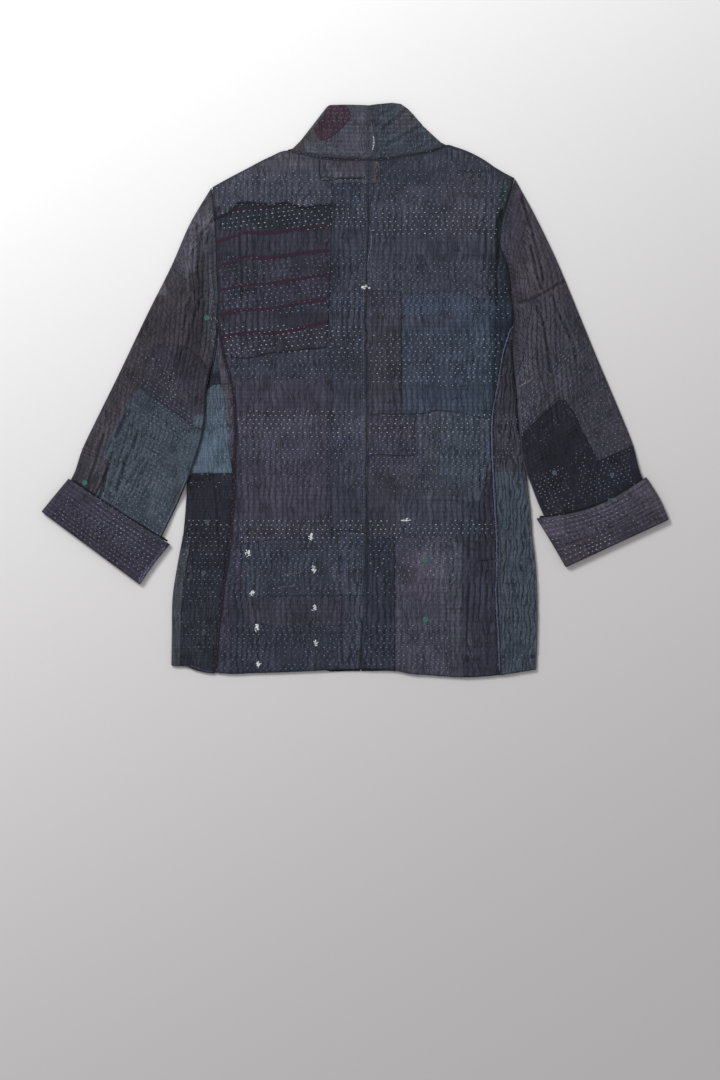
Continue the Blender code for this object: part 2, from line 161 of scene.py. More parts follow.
HEM = table(
    "across height",
    (-258, -384), (-245, -386), (-226, -387), (-211, -392), (-178, -397), (-141, -396),
    (-104, -395), (-57, -393), (-7, -391), (21, -391), (59, -392), (74, -396), (105, -399),
    (153, -402), (207, -398), (227, -395), (255, -391),
)
SHOULDERS = table(
    "across height",
    (-201, 283), (-185, 292), (-153, 309), (-120, 326), (-97, 335), (-91, 335), (-73, 331),
    (-49, 326), (-15, 323), (20, 323), (45, 324), (73, 329), (101, 333), (120, 339), (128, 343),
    (141, 340), (181, 322), (200, 309), (224, 296),
)
FRONT_NECK = table(
    "across height",
    (-200, 283), (-153, 309), (-94, 336), (-74, 302), (-40, 274), (8, 260), (58, 276), (104, 306),
    (126, 343), (181, 322), (224, 296),
)


def edge(column, shift=0.0):
    """One of the body's edges as a function of the level."""
    return lambda level: smooth(level, BODY["level"], BODY[column]) + shift


def line(rows):
    """One of the lines across the body as a function of the place across."""
    return lambda across: smooth(across, rows["across"], rows["height"])


hem_line, shoulder_line = line(HEM), line(SHOULDERS)
print("the back is", round(float(shoulder_line(0) - hem_line(0))), "mm long at its middle")

# %% Sizes of the sleeves, the cuffs and the collar
BODY_LIFT = FLAT + 2 * GAP  # a sleeve lies on the side of the body under the arm
CUFF_LIFT = WALL + GAP
CUFF_FLAT = FLAT + 2 * (WALL + GAP)
CUFF_TAKES = (6.0, 6.85)  # the sections between which a sleeve goes into its cuff
SLEEVE_END = 7.6


def arm(*rows):
    """Sections of a sleeve or a cuff: its outer and inner fold, and how much they bulge."""
    return table("along outer_x outer_y inner_x inner_y bulge", *rows)


SLEEVES = {
    "left": arm(
        (0, -200.8, 283.5, -193, 94, 1), (1, -231, 233, -194.7, 68, 0.5),
        (2, -257, 174, -199.8, 38, 0.1), (3, -290, 108, -207, 6, 0), (4, -330, 24, -212, -55, 0),
        (5, -362, -41, -229, -113, 0), (6, -382, -83, -247, -156, 0),
        (7, -397, -124, -271, -206, 0), (8, -431, -166, -298, -262, 0),
    ),
    "right": arm(
        (0, 225, 295, 220.8, 94, 1), (1, 252, 245, 220.6, 68, 0.5), (2, 283, 180, 222.2, 36, 0.1),
        (3, 315, 103, 226, 0, 0), (4, 338, 47, 230, -52, 0), (5, 368, -24, 236, -102, 0),
        (6, 389, -76, 249, -140, 0), (7, 402, -122, 265, -178, 0), (8, 432, -177, 295, -239, 0),
    ),
}
CUFFS = {
    "left": arm(
        (0, -401, -124, -259, -216, 2), (0.5, -421, -148, -281, -243, 1),
        (1, -438, -169, -300, -271, 0),
    ),
    "right": arm(
        (0, 408, -122, 254, -180, 13), (0.5, 426, -151, 275, -214, 6),
        (1, 439, -180, 294, -247, 0),
    ),
}
# The collar's edges, from the seam at its back to the fold at the side of the neck.
COLLAR_SEAM = ((22, 323.4), (27, 335), (27.5, 350), (24, 380), (20, 398.5))
COLLARS = {
    "left": {
        "low": ((22, 323.4), (-15, 323.4), (-49, 326.4), (-73, 331.4), (-94, 336.5)),
        "top": ((20, 398.5), (7, 399), (-15, 399.5), (-36, 399)),
        "fold": ((-94, 336.5), (-87, 338.5), (-76, 349.5), (-57, 374), (-40, 396), (-36, 399)),
        "under_top": ((-36, 399), (-20, 380), (6.8, 334)),
    },
    "right": {
        "low": ((22, 323.4), (45, 324.4), (73, 329.4), (101, 333.4), (128, 343)),
        "top": ((20, 398.5), (30, 400), (52, 402), (64, 400.5), (75, 393)),
        "fold": ((128, 343), (120, 347), (96, 369), (84, 383), (75, 393)),
        "under_top": ((75, 393), (50, 375), (9.2, 334)),
    },
}
print("sections of a sleeve:", len(SLEEVES["left"]["along"]))

# %% [markdown]
# The frame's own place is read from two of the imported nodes: the front edge of the left front,
# and the lower edge of the navy patch, whose places on the table are known.

# %% From the table to the frame
FRONT_EDGE, NAVY_LOW = 8 - 1.2, -37
shift_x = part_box("front_left")[1].x / MM - FRONT_EDGE
shift_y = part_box("patch_navy")[0].y / MM - (NAVY_LOW + GAP / 2)
print("the table's middle lies at", round(shift_x, 2), round(shift_y, 2), "mm in the frame")


def in_frame(points):
    """Points in metres in the frame, from millimetres on the table."""
    return (np.asarray(points, float).reshape(-1, 3) + (shift_x, shift_y, 0)) * MM


# %% [markdown]
# ## Puffs and creases
#
# A running stitch dips through all the layers every few millimetres. Between the stitches the
# cloth stands up in small puffs, which line up into wavy ridges from row to row. They could be
# bump in the finish, but at a low angle bump looks flat, so here they are real heights: a sine
# across the cloth that wanders, with the stitched rows pressed in. RIPPLES says where they stand
# higher, mostly along the seams, and CREASES are the long folds, laid in one by one.

# %% Swells, ripples and creases
STITCH_PITCH = 7.9  # from one stitch to the next along a row
ROW_PITCH = 5.9  # from one row to the next
RIPPLE = 0.29  # how high the puffs stand away from the seams
WANDER = 0.3  # how far the ridges stray, as a share of the pitch

# Soft swells of the upper layers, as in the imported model.
SWELLS = table(
    "x y reach_x reach_y height",
    (-90, 170, 90, 110, 0.8), (-110, -80, 80, 120, 0.6), (-80, -300, 110, 80, 0.9),
    (110, 210, 80, 90, 0.7), (120, 40, 90, 100, 0.9), (100, -180, 100, 90, 0.5),
    (150, -320, 90, 90, 0.8), (-215, 215, 60, 80, 0.8), (-300, -40, 80, 90, 0.9),
    (250, 190, 60, 90, 1.0), (330, -30, 80, 90, 0.8), (0, 365, 80, 40, 0.6),
)
RIPPLES = table(
    "x y reach_x reach_y height",
    # Beside the right armhole.
    (192, 200, 26, 70, 0.42), (190, 90, 26, 60, 0.34),
    # Beside the right seam.
    (176, -180, 20, 60, 0.34), (176, -100, 16, 50, 0.3), (172, -310, 32, 110, 0.34),
    # The right side panel.
    (226, -250, 34, 150, 0.8), (214, 0, 18, 90, 0.6),
    # Beside the seam down the back.
    (-4, -320, 24, 95, 0.4), (34, -330, 24, 95, 0.34), (-12, 150, 24, 130, 0.2),
    (34, 60, 24, 90, 0.18),
    # Beside the left seam.
    (-156, -290, 20, 110, 0.32), (-160, 60, 20, 150, 0.16), (-215, -300, 30, 110, 0.14),
    # The bands with no light thread.
    (120, 192, 80, 16, 0.2), (110, -14, 80, 16, 0.16), (-80, 205, 100, 18, 0.12),
    (-90, -160, 80, 20, 0.16), (100, -160, 80, 18, 0.14),
    # The sleeves.
    (-216, 160, 20, 80, 0.8), (-232, 60, 26, 60, 0.6), (-322, -90, 40, 66, 0.5),
    (-300, 60, 60, 80, 0.1), (258, 190, 20, 70, 0.36), (268, 70, 26, 66, 0.46),
    (280, -10, 30, 50, 0.26), (340, 20, 40, 90, 0.06), (290, 90, 50, 110, 0.1),
)
CREASES = table(
    "from_x from_y to_x to_y width depth",
    # The left sleeve, from the shoulder down.
    (-198, 240, -214, 218, 2.0, 0.6), (-214, 218, -219, 172, 2.2, 0.8),
    (-219, 172, -214, 130, 2.2, 0.9), (-214, 130, -224, 104, 2.2, 0.8),
    (-224, 104, -236, 58, 2.2, 0.7), (-203, 228, -209, 198, 1.6, 0.6),
    (-209, 198, -212, 146, 1.8, 0.8), (-206, 150, -212, 96, 1.8, 0.6),
    (-230, 128, -240, 84, 1.8, 0.6), (-226, 196, -230, 140, 1.8, 0.7),
    (-318, -30, -334, -66, 2.2, 0.8), (-304, -58, -322, -104, 2.2, 0.9),
    (-322, -104, -334, -140, 2.4, 1.0), (-296, -96, -318, -130, 2.0, 0.6),
    # The right sleeve.
    (232, 272, 238, 253, 2.0, 0.9), (238, 253, 249, 217, 2.0, 0.9),
    (249, 217, 261, 171, 2.0, 0.8), (261, 171, 264, 152, 2.2, 0.9),
    (246, 202, 257, 156, 2.0, 1.0), (257, 156, 263, 141, 1.8, 0.8), (254, 115, 263, 93, 2.0, 0.9),
    (263, 93, 270, 57, 2.2, 1.1), (270, 57, 275, 26, 2.0, 0.8), (275, 133, 287, 102, 2.2, 0.9),
    (287, 102, 301, 75, 2.2, 0.8), (301, 75, 309, 44, 2.0, 0.6), (252, 62, 262, 14, 1.8, 0.6),
    (230, 121, 266, 137, 2.0, 0.7), (266, 137, 294, 154, 2.0, 0.8),
    # The right half of the back.
    (205, 252, 196, 214, 2.0, 0.8), (186, 236, 180, 168, 2.0, 0.7),
    (200, 200, 196, 120, 2.2, 0.9), (182, -90, 172, -150, 1.8, 0.7),
    (166, -150, 158, -236, 1.8, 0.6), (160, -262, 156, -380, 1.8, 0.7),
    (184, -262, 186, -384, 1.8, 0.6), (44, -250, 40, -386, 1.6, 0.5),
    # The left half.
    (-160, 226, -158, 116, 1.8, 0.6), (-144, 224, -132, 60, 1.8, 0.6),
    (-40, 206, -36, 132, 1.6, 0.5), (-22, 196, -16, 70, 1.6, 0.5),
    (-152, -178, -146, -268, 1.8, 0.6), (-140, -262, -136, -384, 1.6, 0.5),
    (-22, -232, -18, -384, 1.8, 0.7), (-8, -250, -4, -380, 1.6, 0.5),
    # The left side panel.
    (-196, -130, -192, -220, 1.6, 0.5),
    # The left sleeve, toward its cuff.
    (-352, -62, -376, -142, 2.2, 0.8), (-340, -88, -358, -150, 2.2, 0.9),
    (-346, -110, -352, -142, 1.8, 0.8),
    # The right half of the collar.
    (72, 394, 38, 364, 2.2, 0.5), (94, 372, 46, 344, 2.4, 0.5), (112, 352, 84, 336, 2.0, 0.4),
    (56, 398, 34, 384, 2.0, 0.4),
)
print("swells:", len(SWELLS["x"]), "ripples:", len(RIPPLES["x"]))
print("creases:", len(CREASES["width"]))


# %% Relief of the quilted cloth
def hills(rows, x, y):
    """The sum of a table's soft round hills at these places."""
    total = np.zeros(np.broadcast(x, y).shape)
    for hill_x, hill_y, reach_x, reach_y, height in zip(*rows.values()):
        total += height * np.exp(-(((x - hill_x) / reach_x) ** 2 + ((y - hill_y) / reach_y) ** 2))
    return total


def creased(x, y):
    """How deep the creases lie at these places; each is a trough with a low ridge beside it."""
    total = np.zeros(np.broadcast(x, y).shape)
    stray = 1.6 * noise(x, y, 14, 22, 71)
    for from_x, from_y, to_x, to_y, width, depth in zip(*CREASES.values()):
        way_x, way_y = to_x - from_x, to_y - from_y
        length = np.hypot(way_x, way_y)
        share = ((x - from_x) * way_x + (y - from_y) * way_y) / length**2
        aside = ((x - from_x) * way_y - (y - from_y) * way_x) / length + stray
        beyond = np.maximum(np.abs(share - 0.5) - 0.5, 0) * length
        far = np.sqrt(aside**2 + beyond**2) / width
        total += depth * (np.exp(-(far**2)) - 0.45 * np.exp(-((far - 2.1) ** 2)))
    return total


def quilting(across, along, height, rows=0.16, seed=11, wander=1.0, forks=0.14):
    """The puffs' height over cloth measured across and along its stitched rows."""
    stray = noise(across, along, 30, 44, seed) + noise(across, along, 12, 17, seed + 1)
    stray = wander * WANDER * stray
    # The rows are half a stitch apart, so each ridge sways a little from row to row.
    stray = stray + 0.06 * np.sin(math.pi * along / ROW_PITCH)
    stray = stray + forks * noise(across, along, 7, 26, seed + 4)
    # Broad puffs with narrow valleys between them.
    ridges = 1 - 2 * (1 - np.abs(np.sin(math.pi * (across / STITCH_PITCH + stray)))) ** 1.7
    pressed = np.cos(math.tau * along / ROW_PITCH)
    uneven = 0.95 + 0.75 * noise(across, along, 11, 19, seed + 2)
    uneven = np.clip(uneven + 0.4 * noise(across, along, 40, 26, seed + 3), 0.05, 2)
    rows = rows * np.minimum(1, RIPPLE / height)  # strong ripples run across the rows
    return height * uneven * ((1 - rows) * ridges * (1 - 0.25 * pressed) - rows * pressed)


def relief(x, y):
    """Puffs and creases of what lies flat, in millimetres."""
    return quilting(x, y, RIPPLE + hills(RIPPLES, x, y)) - creased(x, y)


print("relief at the middle:", round(float(relief(0, 0)), 2), "mm")

# %% [markdown]
# ## Old dyes
#
# Indigo, madder and iron have faded at different speeds, and where a top layer has worn thin the
# one below shows through. So each cloth has a colour of its own in its finish, and a point may
# also carry a second dye and how much of it there is. DYES has a row for each such place, under
# its piece: its sides, how softly it ends, its strength and its colour. A row without sides is
# all over the piece. A few rows are painted light or painted shade instead of dye, and are marked
# where they stand. The colours are sRGB hex, and one function turns them to the linear values
# that Blender works with.

# %% Colours of the cloths
def linear(colour):
    """An sRGB hex colour as linear red, green and blue."""
    parts = np.array([int(colour[i : i + 2], 16) / 255 for i in (1, 3, 5)])
    return np.where(parts <= 0.04045, parts / 12.92, ((parts + 0.055) / 1.055) ** 2.4)


# Each cloth's colour, and how far its thick threads show.
CLOTHS = {
    "slate": ("#373a47", 0.10), "mauve": ("#403f4b", 0.09), "plum": ("#3d3b48", 0.09),
    "wine": ("#42333f", 0.08), "earth": ("#3c393f", 0.12), "teal": ("#343844", 0.12),
    "sea": ("#3d444e", 0.11), "sky": ("#4f5d6c", 0.08), "navy": ("#38404e", 0.10),
    "night": ("#282934", 0.10), "moss": ("#1c2526", 0.12), "lilac": ("#403d48", 0.10),
}
print("cloths:", len(CLOTHS), "slate in linear values:", linear(CLOTHS["slate"][0]).round(3))

# %% Second dyes
DYES = {
    # piece: rows of left, right, low, high, how softly it ends, strength, colour
    "back_left": (
        (-210, 40, 235, 340, 30, 0.8, "#434550"), (-200, 20, -300, -200, 14, 0.7, "#343844"),
        (-200, 20, -420, -325, 12, 0.8, "#323641"), (-200, -146, -215, 20, 10, 0.9, "#32323e"),
        (-230, -150, -420, -200, 10, 0.8, "#363543"),
        (-172, -140, -400, -280, 10, 0.7, "#2a2e38"), (-130, -60, 310, 340, 12, 0.7, "#524f58"),
        (-165, -100, 290, 320, 14, 0.6, "#4c4d58"), (-30, 0, 312, 335, 10, 0.6, "#4a4b55"),
        (-202, -188, 235, 256, 6, 0.7, "#2a2b33"),
    ),
    "back_right": (
        (0, 240, 130, 350, 20, 0.8, "#373b47"), (120, 180, 210, 300, 30, 0.4, "#46454f"),
        (60, 230, -420, -150, 14, 0.8, "#383d49"), (10, 60, -210, -90, 8, 0.7, "#383944"),
        (130, 156, -420, -205, 8, 0.7, "#43444f"), (184, 240, -60, 240, 26, 0.7, "#31363f"),
        (168, 190, 186, 228, 8, 0.6, "#2f343e"), (189, 240, 110, 190, 10, 0.9, "#20242c"),
        (66, 96, 245, 285, 14, 0.6, "#494c59"), (148, 176, -215, -150, 14, 0.8, "#2c313c"),
        (32, 56, 212, 238, 10, 0.6, "#31343e"), (17, 40, -205, -165, 10, 0.7, "#2d303a"),
    ),
    "side_left": (
        (-250, -160, -250, -110, 12, 0.7, "#262832"),
        (-250, -160, -420, -250, 16, 0.8, "#2b2e37"), (-190, -160, -76, 10, 4, 0.9, "#4b4a55"),
        (-212, -184, 26, 72, 8, 0.5, "#4a4d5b"), (-185, -160, -98, -50, 8, 0.7, "#454d5d"),
    ),
    "patch_mauve_side": ((0.9, "#4b4a55"),),
    "side_right": (
        (190, 260, -120, 100, 30, 0.85, "#34343d"), (205, 230, -30, 90, 8, 0.6, "#282830"),
    ),
    "sleeve_left": (
        (-260, -190, 150, 300, 26, 0.8, "#4b4952"), (-260, -212, -60, 110, 16, 0.6, "#34323b"),
        (-410, -300, -160, 0, 26, 0.4, "#434047"), (-214, -190, 60, 250, 8, 0.6, "#414650"),
        # The first row on the next line is painted shade for the deep valleys beside the armhole.
        (-230, -206, 60, 190, 14, 0.7, "#29272d"), (-284, -265, 134, 156, 5, 0.8, "#5c5e66"),
        # The first row on the next line is a painted highlight.
        (-246, -222, 168, 206, 12, 0.6, "#575663"), (-235, -200, 228, 260, 12, 0.6, "#605d66"),
        (-222, -200, 190, 220, 10, 0.6, "#383740"),
    ),
    "sleeve_right": (
        (220, 330, 120, 300, 30, 0.7, "#413c44"), (220, 400, -70, 130, 30, 0.7, "#3a3942"),
        (330, 400, -100, 40, 14, 0.5, "#403f4a"), (196, 222, 224, 272, 8, 0.7, "#333740"),
        (226, 256, -40, 84, 14, 0.5, "#4b4954"), (266, 290, 134, 162, 10, 0.5, "#353139"),
        (226, 250, 138, 176, 10, 0.6, "#524e58"), (226, 250, 76, 122, 10, 0.7, "#4b4953"),
    ),
    "patch_navy": (
        (60, 210, 84, 140, 8, 0.5, "#3d4454"), (66, 140, 88, 104, 5, 0.6, "#3c3c48"),
        (150, 210, -50, 130, 24, 0.4, "#34404c"), (190, 240, -60, 150, 10, 0.9, "#1f2631"),
        (165, 195, 110, 140, 12, 0.5, "#2e3542"),
    ),
    "patch_column_right": ((0.9, "#363742"), (10, 34, -60, -10, 8, 0.7, "#434352")),
    "patch_brown": ((0.95, "#2b2b37"),),
    "patch_striped": (
        (0.9, "#32323e"), (-200, -30, 226, 264, 12, 0.85, "#272c35"),
        (-172, -140, 128, 186, 12, 0.6, "#28282f"),
    ),
    "patch_rose": (
        (0.7, "#454553"), (76, 108, -296, -228, 16, 0.8, "#4d4654"),
        (86, 130, -262, -230, 14, 0.7, "#5a5969"), (50, 76, -262, -230, 10, 0.6, "#474957"),
    ),
    "patch_russet_low": ((0.8, "#373743"),),
    "patch_teal_low": (
        (-156, 16, -292, -262, 10, 0.3, "#363d48"), (-34, 0, -285, -245, 10, 0.6, "#454956"),
    ),
    "patch_column_left": (
        (0.85, "#343642"), (-36, 18, 120, 290, 30, 0.5, "#3a3f4b"),
        (-34, 0, 212, 262, 12, 0.7, "#2f333d"), (-34, 24, -125, -10, 10, 0.3, "#434553"),
        (-8, 24, -125, -10, 10, 0.7, "#434553"), (-34, 10, 270, 300, 10, 0.7, "#2e323d"),
        (-34, 0, 140, 200, 12, 0.7, "#2e313c"),
    ),
    "patch_night_sleeve": ((0.9, "#25252f"), (264, 290, -180, -155, 8, 0.6, "#30303c")),
    "patch_sea_sleeve": (
        (-399, 99, -450, 0, 1, 0.5, "#3b424b"), (-325, -296, -70, -30, 12, 0.5, "#353b44"),
        # The first row on the next line is painted light, to lift the shade beside the sleeve's
        # inner fold.
        (-246, -214, -130, -62, 12, 0.7, "#4b5762"), (-305, -280, -200, -172, 10, 0.5, "#353b44"),
        (-345, -300, -105, -70, 12, 0.5, "#353b43"), (-288, -258, -185, -95, 14, 0.6, "#48525d"),
    ),
    "patch_field": (
        (0.7, "#3e4550"), (0, 122, -450, 0, 26, 0.55, "#43424e"),
        (0, 299, -450, -128, 16, 0.7, "#3f414c"), (166, 240, -450, -50, 20, 0.7, "#333a45"),
        (148, 180, -160, -130, 14, 0.7, "#313742"), (84, 100, -128, -80, 8, 0.6, "#363b47"),
    ),
    "patch_sea_side": ((0.8, "#3c444e"),),
    "patch_ripple_strip": ((0.85, "#2f303c"), (140, 176, -375, -325, 12, 0.6, "#3c3e4a")),
    "patch_dark_strip": ((0.8, "#2d313c"),),
    "patch_sky_side": (
        (-240, -160, -60, 14, 18, 0.4, "#4d5966"), (-204, -180, -30, 10, 10, 0.5, "#46525e"),
        # This row is painted light, to lift the shade beside the left sleeve's inner fold.
        (-240, -196, -116, -60, 12, 0.6, "#5c6d7f"),
    ),
    "patch_night_wrist": ((0.9, "#262732"), (384, 410, -150, -110, 8, 0.6, "#1d1d26")),
    "patch_shade_sleeve": (
        (0.7, "#36353f"), (-256, -196, 22, 90, 20, 0.8, "#2e2c33"),
        (-226, -200, -75, -35, 8, 0.8, "#525e6b"), (-250, -215, 15, 64, 10, 0.7, "#28272f"),
    ),
    "patch_wrist_scrap": ((0.95, "#3b3a41"),),
    "patch_edge_side": ((0.85, "#42464c"), (-300, 0, -222, -190, 8, 0.9, "#2c3037")),
    "patch_neck_left": ((0.9, "#474550"),),
    "patch_neck_right": ((0.9, "#44414a"),),
    "front_left": ((-70, 90, -400, -386, 1, 0.9, "#1b1b22"),),
    "cuff_left": ((0.7, "#363340"),),
    "cuff_right": (
        (250, 470, -170, -110, 16, 0.6, "#4d4a55"), (262, 292, -205, -165, 10, 0.7, "#56525f"),
        (355, 395, -185, -150, 12, 0.8, "#3f3c47"),
    ),
    "collar_right": (
        (0, 150, 300, 420, 1, 0.8, "#3e444d"), (60, 110, 370, 420, 14, 0.7, "#474349"),
    ),
    "collar_left": (
        (-60, 40, 325, 420, 14, 0.85, "#4c4d59"), (-100, -40, 325, 350, 10, 0.5, "#42424b"),
        (0, 30, 325, 400, 8, 0.6, "#535561"), (-110, -70, 320, 352, 6, 0.9, "#4a4649"),
        (-84, -52, 342, 368, 6, 0.9, "#4a4649"),
    ),
    "patch_collar_slate": ((0.9, "#4f515c"),),
    "patch_armhole": ((190, 240, 250, 300, 10, 0.5, "#3c4448"),),
    "patch_plum_left": ((-130, -60, -100, -40, 20, 0.5, "#484857"),),
}


def dyed(piece, x, y):
    """The second dye at these places of a piece, and how far it covers the first."""
    tint, cover = np.zeros((*x.shape, 3)), np.zeros(x.shape)
    stray = 3 * noise(x, y, 13, 13, 83)
    for *sides, strength, colour in DYES.get(piece, ()):
        amount = np.full(x.shape, strength)
        if sides:
            left, right, low, high, soft = sides
            inside = np.minimum(np.minimum(x - left, right - x), np.minimum(y - low, high - y))
            amount = strength * ease(inside + stray, -soft / 2, soft / 2)
        tint = tint * (1 - amount)[..., None] + linear(colour) * amount[..., None]
        cover = cover * (1 - amount) + amount
    return np.dstack([tint / np.maximum(cover, 0.001)[..., None], cover])


print("second dyes:", sum(len(rows) for rows in DYES.values()))

# %% [markdown]
# ## The finish of hand-spun cotton
#
# Real cotton of this kind is matt, with uneven threads, so its colour has fine streaks both
# ways, and it has faded in clouds. The high parts of the puffs are painted paler, for wear and as
# painted highlight, and the low parts darker, for dust and as painted shade; fine crinkles are
# painted darker too, as shade. All of that is drawn in the cloth's own millimetres, so it follows
# the cloth round a fold. Its threads lie about 0.5 mm apart, which is too fine to see from here:
# they are drawn 1 mm apart, as a slight roughness of the surface.

# %% Making a finish
THREADS = 1.0  # millimetres between the threads as drawn
WAVE = 0.314  # the scale at which a wave texture has one line in each millimetre
# The crests are painted lighter, for wear and as painted highlight.
CREST_WEAR_AND_HIGHLIGHT = 1.5  # how much lighter the crests of the puffs are
# The darker crinkles are painted shade.
CRINKLE_SHADE = 0.55  # how much darker the fine crinkles are where the cloth was pulled tight


def add(tree, kind, inputs=None, out=0, **settings):
    """One output of a new node, from its settings and a value or a link for each input."""
    node = tree.nodes.new("ShaderNode" + kind)
    for name, value in settings.items():
        setattr(node, name, value)
    for socket, value in (inputs or {}).items():
        if isinstance(value, bpy.types.NodeSocket):
            tree.links.new(value, node.inputs[socket])
        else:
            node.inputs[socket].default_value = value
    return node.outputs[out]


def new_finish(name, roughness, sheen):
    """An empty finish with its shader, matt and a little furry."""
    made = bpy.data.materials.new(name)
    made.use_nodes = True
    shader = made.node_tree.nodes["Principled BSDF"]
    for socket, value in (
        ("Roughness", roughness), ("Specular IOR Level", 0.15),
        ("Sheen Weight", sheen), ("Sheen Roughness", 0.5),
    ):
        shader.inputs[socket].default_value = value
    return made, made.node_tree, shader


print("the weave's scale:", WAVE / THREADS, "crests", CREST_WEAR_AND_HIGHLIGHT, "times as light")


# %% Old cotton
def cotton(name, colour, slubs):
    """Old hand-spun cotton: faded in clouds, streaky, paler where it stands up and darker low
    down, from wear and dust and as painted highlight and shade.
    """
    made, tree, shader = new_finish(f"boro_cotton_{name}", 0.93, 0.06)
    place = add(tree, "Attribute", out="Vector", attribute_name="cloth")
    height = add(tree, "Attribute", out="Fac", attribute_name="relief")
    dye = add(tree, "Attribute", attribute_name="dye")
    mixed = {0: dye.node.outputs["Alpha"], 6: (*linear(colour), 1), 7: dye}
    base = add(tree, "Mix", mixed, 2, data_type="RGBA")
    # Clouds of fading about 30 mm across, and uneven patches of about 7 mm.
    tone = add(tree, "TexNoise", {"Vector": place, "Scale": 1 / 30, "Detail": 3.0})
    spots = add(tree, "TexNoise", {"Vector": place, "Scale": 1 / 7, "Detail": 2.0})
    shares = [(spots, 0.5)]
    # Thick and thin threads both ways: 1.6 mm wide and 40 mm long.
    for scale in ((1 / 1.6, 1 / 40, 1), (1 / 40, 1 / 1.6, 1)):
        streak = add(tree, "Mapping", {"Vector": place, "Scale": scale})
        slub = add(tree, "TexNoise", {"Vector": streak, "Scale": 1.0, "Detail": 1.0})
        shares.append((slub, 4 * slubs))
    for value, share in shares:
        tone = add(tree, "Math", {0: value, 1: share, 2: tone}, operation="MULTIPLY_ADD")
    middle = 0.5 * (1 + sum(share for _, share in shares))
    span = {1: middle - 0.35, 2: middle + 0.35, 3: 0.74, 4: 1.27}
    tone = add(tree, "MapRange", {0: tone, **span})
    # Darker low parts, for dust and as painted shade, and lighter crests, for wear and as painted
    # highlight.
    low = add(tree, "MapRange", {0: height, 1: -1.1, 2: 0.25, 3: 0.4, 4: 1.08})
    wear_and_highlight = add(tree, "MapRange", {0: height, 1: 0.05, 2: 0.5, 3: 1.0, 4: CREST_WEAR_AND_HIGHLIGHT})
    # Fine crinkles between the stitches of two rows: thin wavy lines about 4 mm apart, painted
    # darker as shade and also used as bump.
    fine = add(tree, "Mapping", {"Vector": place, "Scale": (1 / 3.4, 1 / 17, 1)})
    fine = add(tree, "TexNoise", {"Vector": fine, "Scale": 1.0, "Detail": 2.0})
    fine = add(tree, "Math", {0: fine, 1: 0.5}, operation="SUBTRACT")
    fine = add(tree, "Math", {0: fine}, operation="ABSOLUTE")
    crinkle = add(tree, "MapRange", {0: fine, 1: 0.0, 2: 0.07, 3: 0.0, 4: 1.0})
    # Their painted shade is deeper where the cloth was pulled tight, in places about 24 mm across.
    tight = add(tree, "TexNoise", {"Vector": place, "Scale": 1 / 24, "Detail": 1.0})
    tight = add(tree, "MapRange", {0: tight, 1: 0.62, 2: 0.4, 3: 1 - CRINKLE_SHADE, 4: 0.94})
    crinkle_shade = add(tree, "MapRange", {0: crinkle, 3: tight, 4: 1.0})
    for part in (low, wear_and_highlight, crinkle_shade):
        tone = add(tree, "Math", {0: tone, 1: part}, operation="MULTIPLY")
    toned = add(tree, "VectorMath", {0: base, "Scale": tone}, operation="SCALE")
    tree.links.new(toned, shader.inputs["Base Color"])
    # The weave, as two sets of threads that go over and under each other.
    lines = {"Vector": place, "Scale": WAVE / THREADS, "Distortion": 2.5, "Detail": 1.0}
    warp, weft = (add(tree, "TexWave", lines, "Fac", bands_direction=way) for way in ("X", "Y"))
    weave = add(tree, "Math", {0: warp, 1: weft}, operation="MULTIPLY")
    bump = {"Strength": 0.6, "Distance": 0.00025, "Height": weave}
    folds = {"Strength": 0.9, "Distance": 0.0006, "Height": crinkle}
    normal = add(tree, "Bump", {**folds, "Normal": add(tree, "Bump", bump)})
    tree.links.new(normal, shader.inputs["Normal"])
    return made


FINISH = {name: cotton(name, *CLOTHS[name]) for name in CLOTHS}
print("finishes:", ", ".join(FINISH))

# %% [markdown]
# Sewing thread is twisted and a little brighter than cloth. Each stitch has its own brightness,
# because some are rubbed away and some lie deep, and the twist shows as a fine slanting ripple.

# %% Thread finishes
# Most of the dark thread is painted shade: the dimples between stitches and the shadow strips of
# seams, folds, cuffs and the neck; elsewhere it is dark thread.
THREAD_COLOURS = {
    "white": "#adb4bd", "blue": "#7f92b6", "grey": "#868c9c", "dark": "#1e1f28",
    "maroon": "#4b3043", "band_red": "#2d1f2d", "lilac": "#8b86a0", "green": "#3f6f62",
    "pale_teal": "#606f7b", "knot_white": "#e2e4e6", "seam_blue": "#636c8a", "olive": "#5b5650",
}
TWIST = 0.8  # millimetres from one turn of the twist to the next


def thread_finish(name, colour):
    """Twisted cotton thread."""
    made, tree, shader = new_finish(f"sewing_thread_{name}", 0.8, 0.1)
    place = add(tree, "Attribute", out="Vector", attribute_name="cloth")
    shade = add(tree, "Attribute", out="Fac", attribute_name="relief")
    lines = {"Vector": place, "Scale": WAVE / TWIST, "Distortion": 1.0}
    twist = add(tree, "TexWave", lines, "Fac", bands_direction="DIAGONAL")
    strength = add(tree, "MapRange", {0: twist, 1: 0.0, 2: 1.0, 3: 0.8, 4: 1.15})
    tone = add(tree, "Math", {0: strength, 1: shade}, operation="MULTIPLY")
    paint = add(tree, "VectorMath", {0: linear(colour), "Scale": tone}, operation="SCALE")
    tree.links.new(paint, shader.inputs["Base Color"])
    return made


for name, colour in THREAD_COLOURS.items():
    FINISH[f"thread_{name}"] = thread_finish(name, colour)
print("finishes with the threads:", len(FINISH))

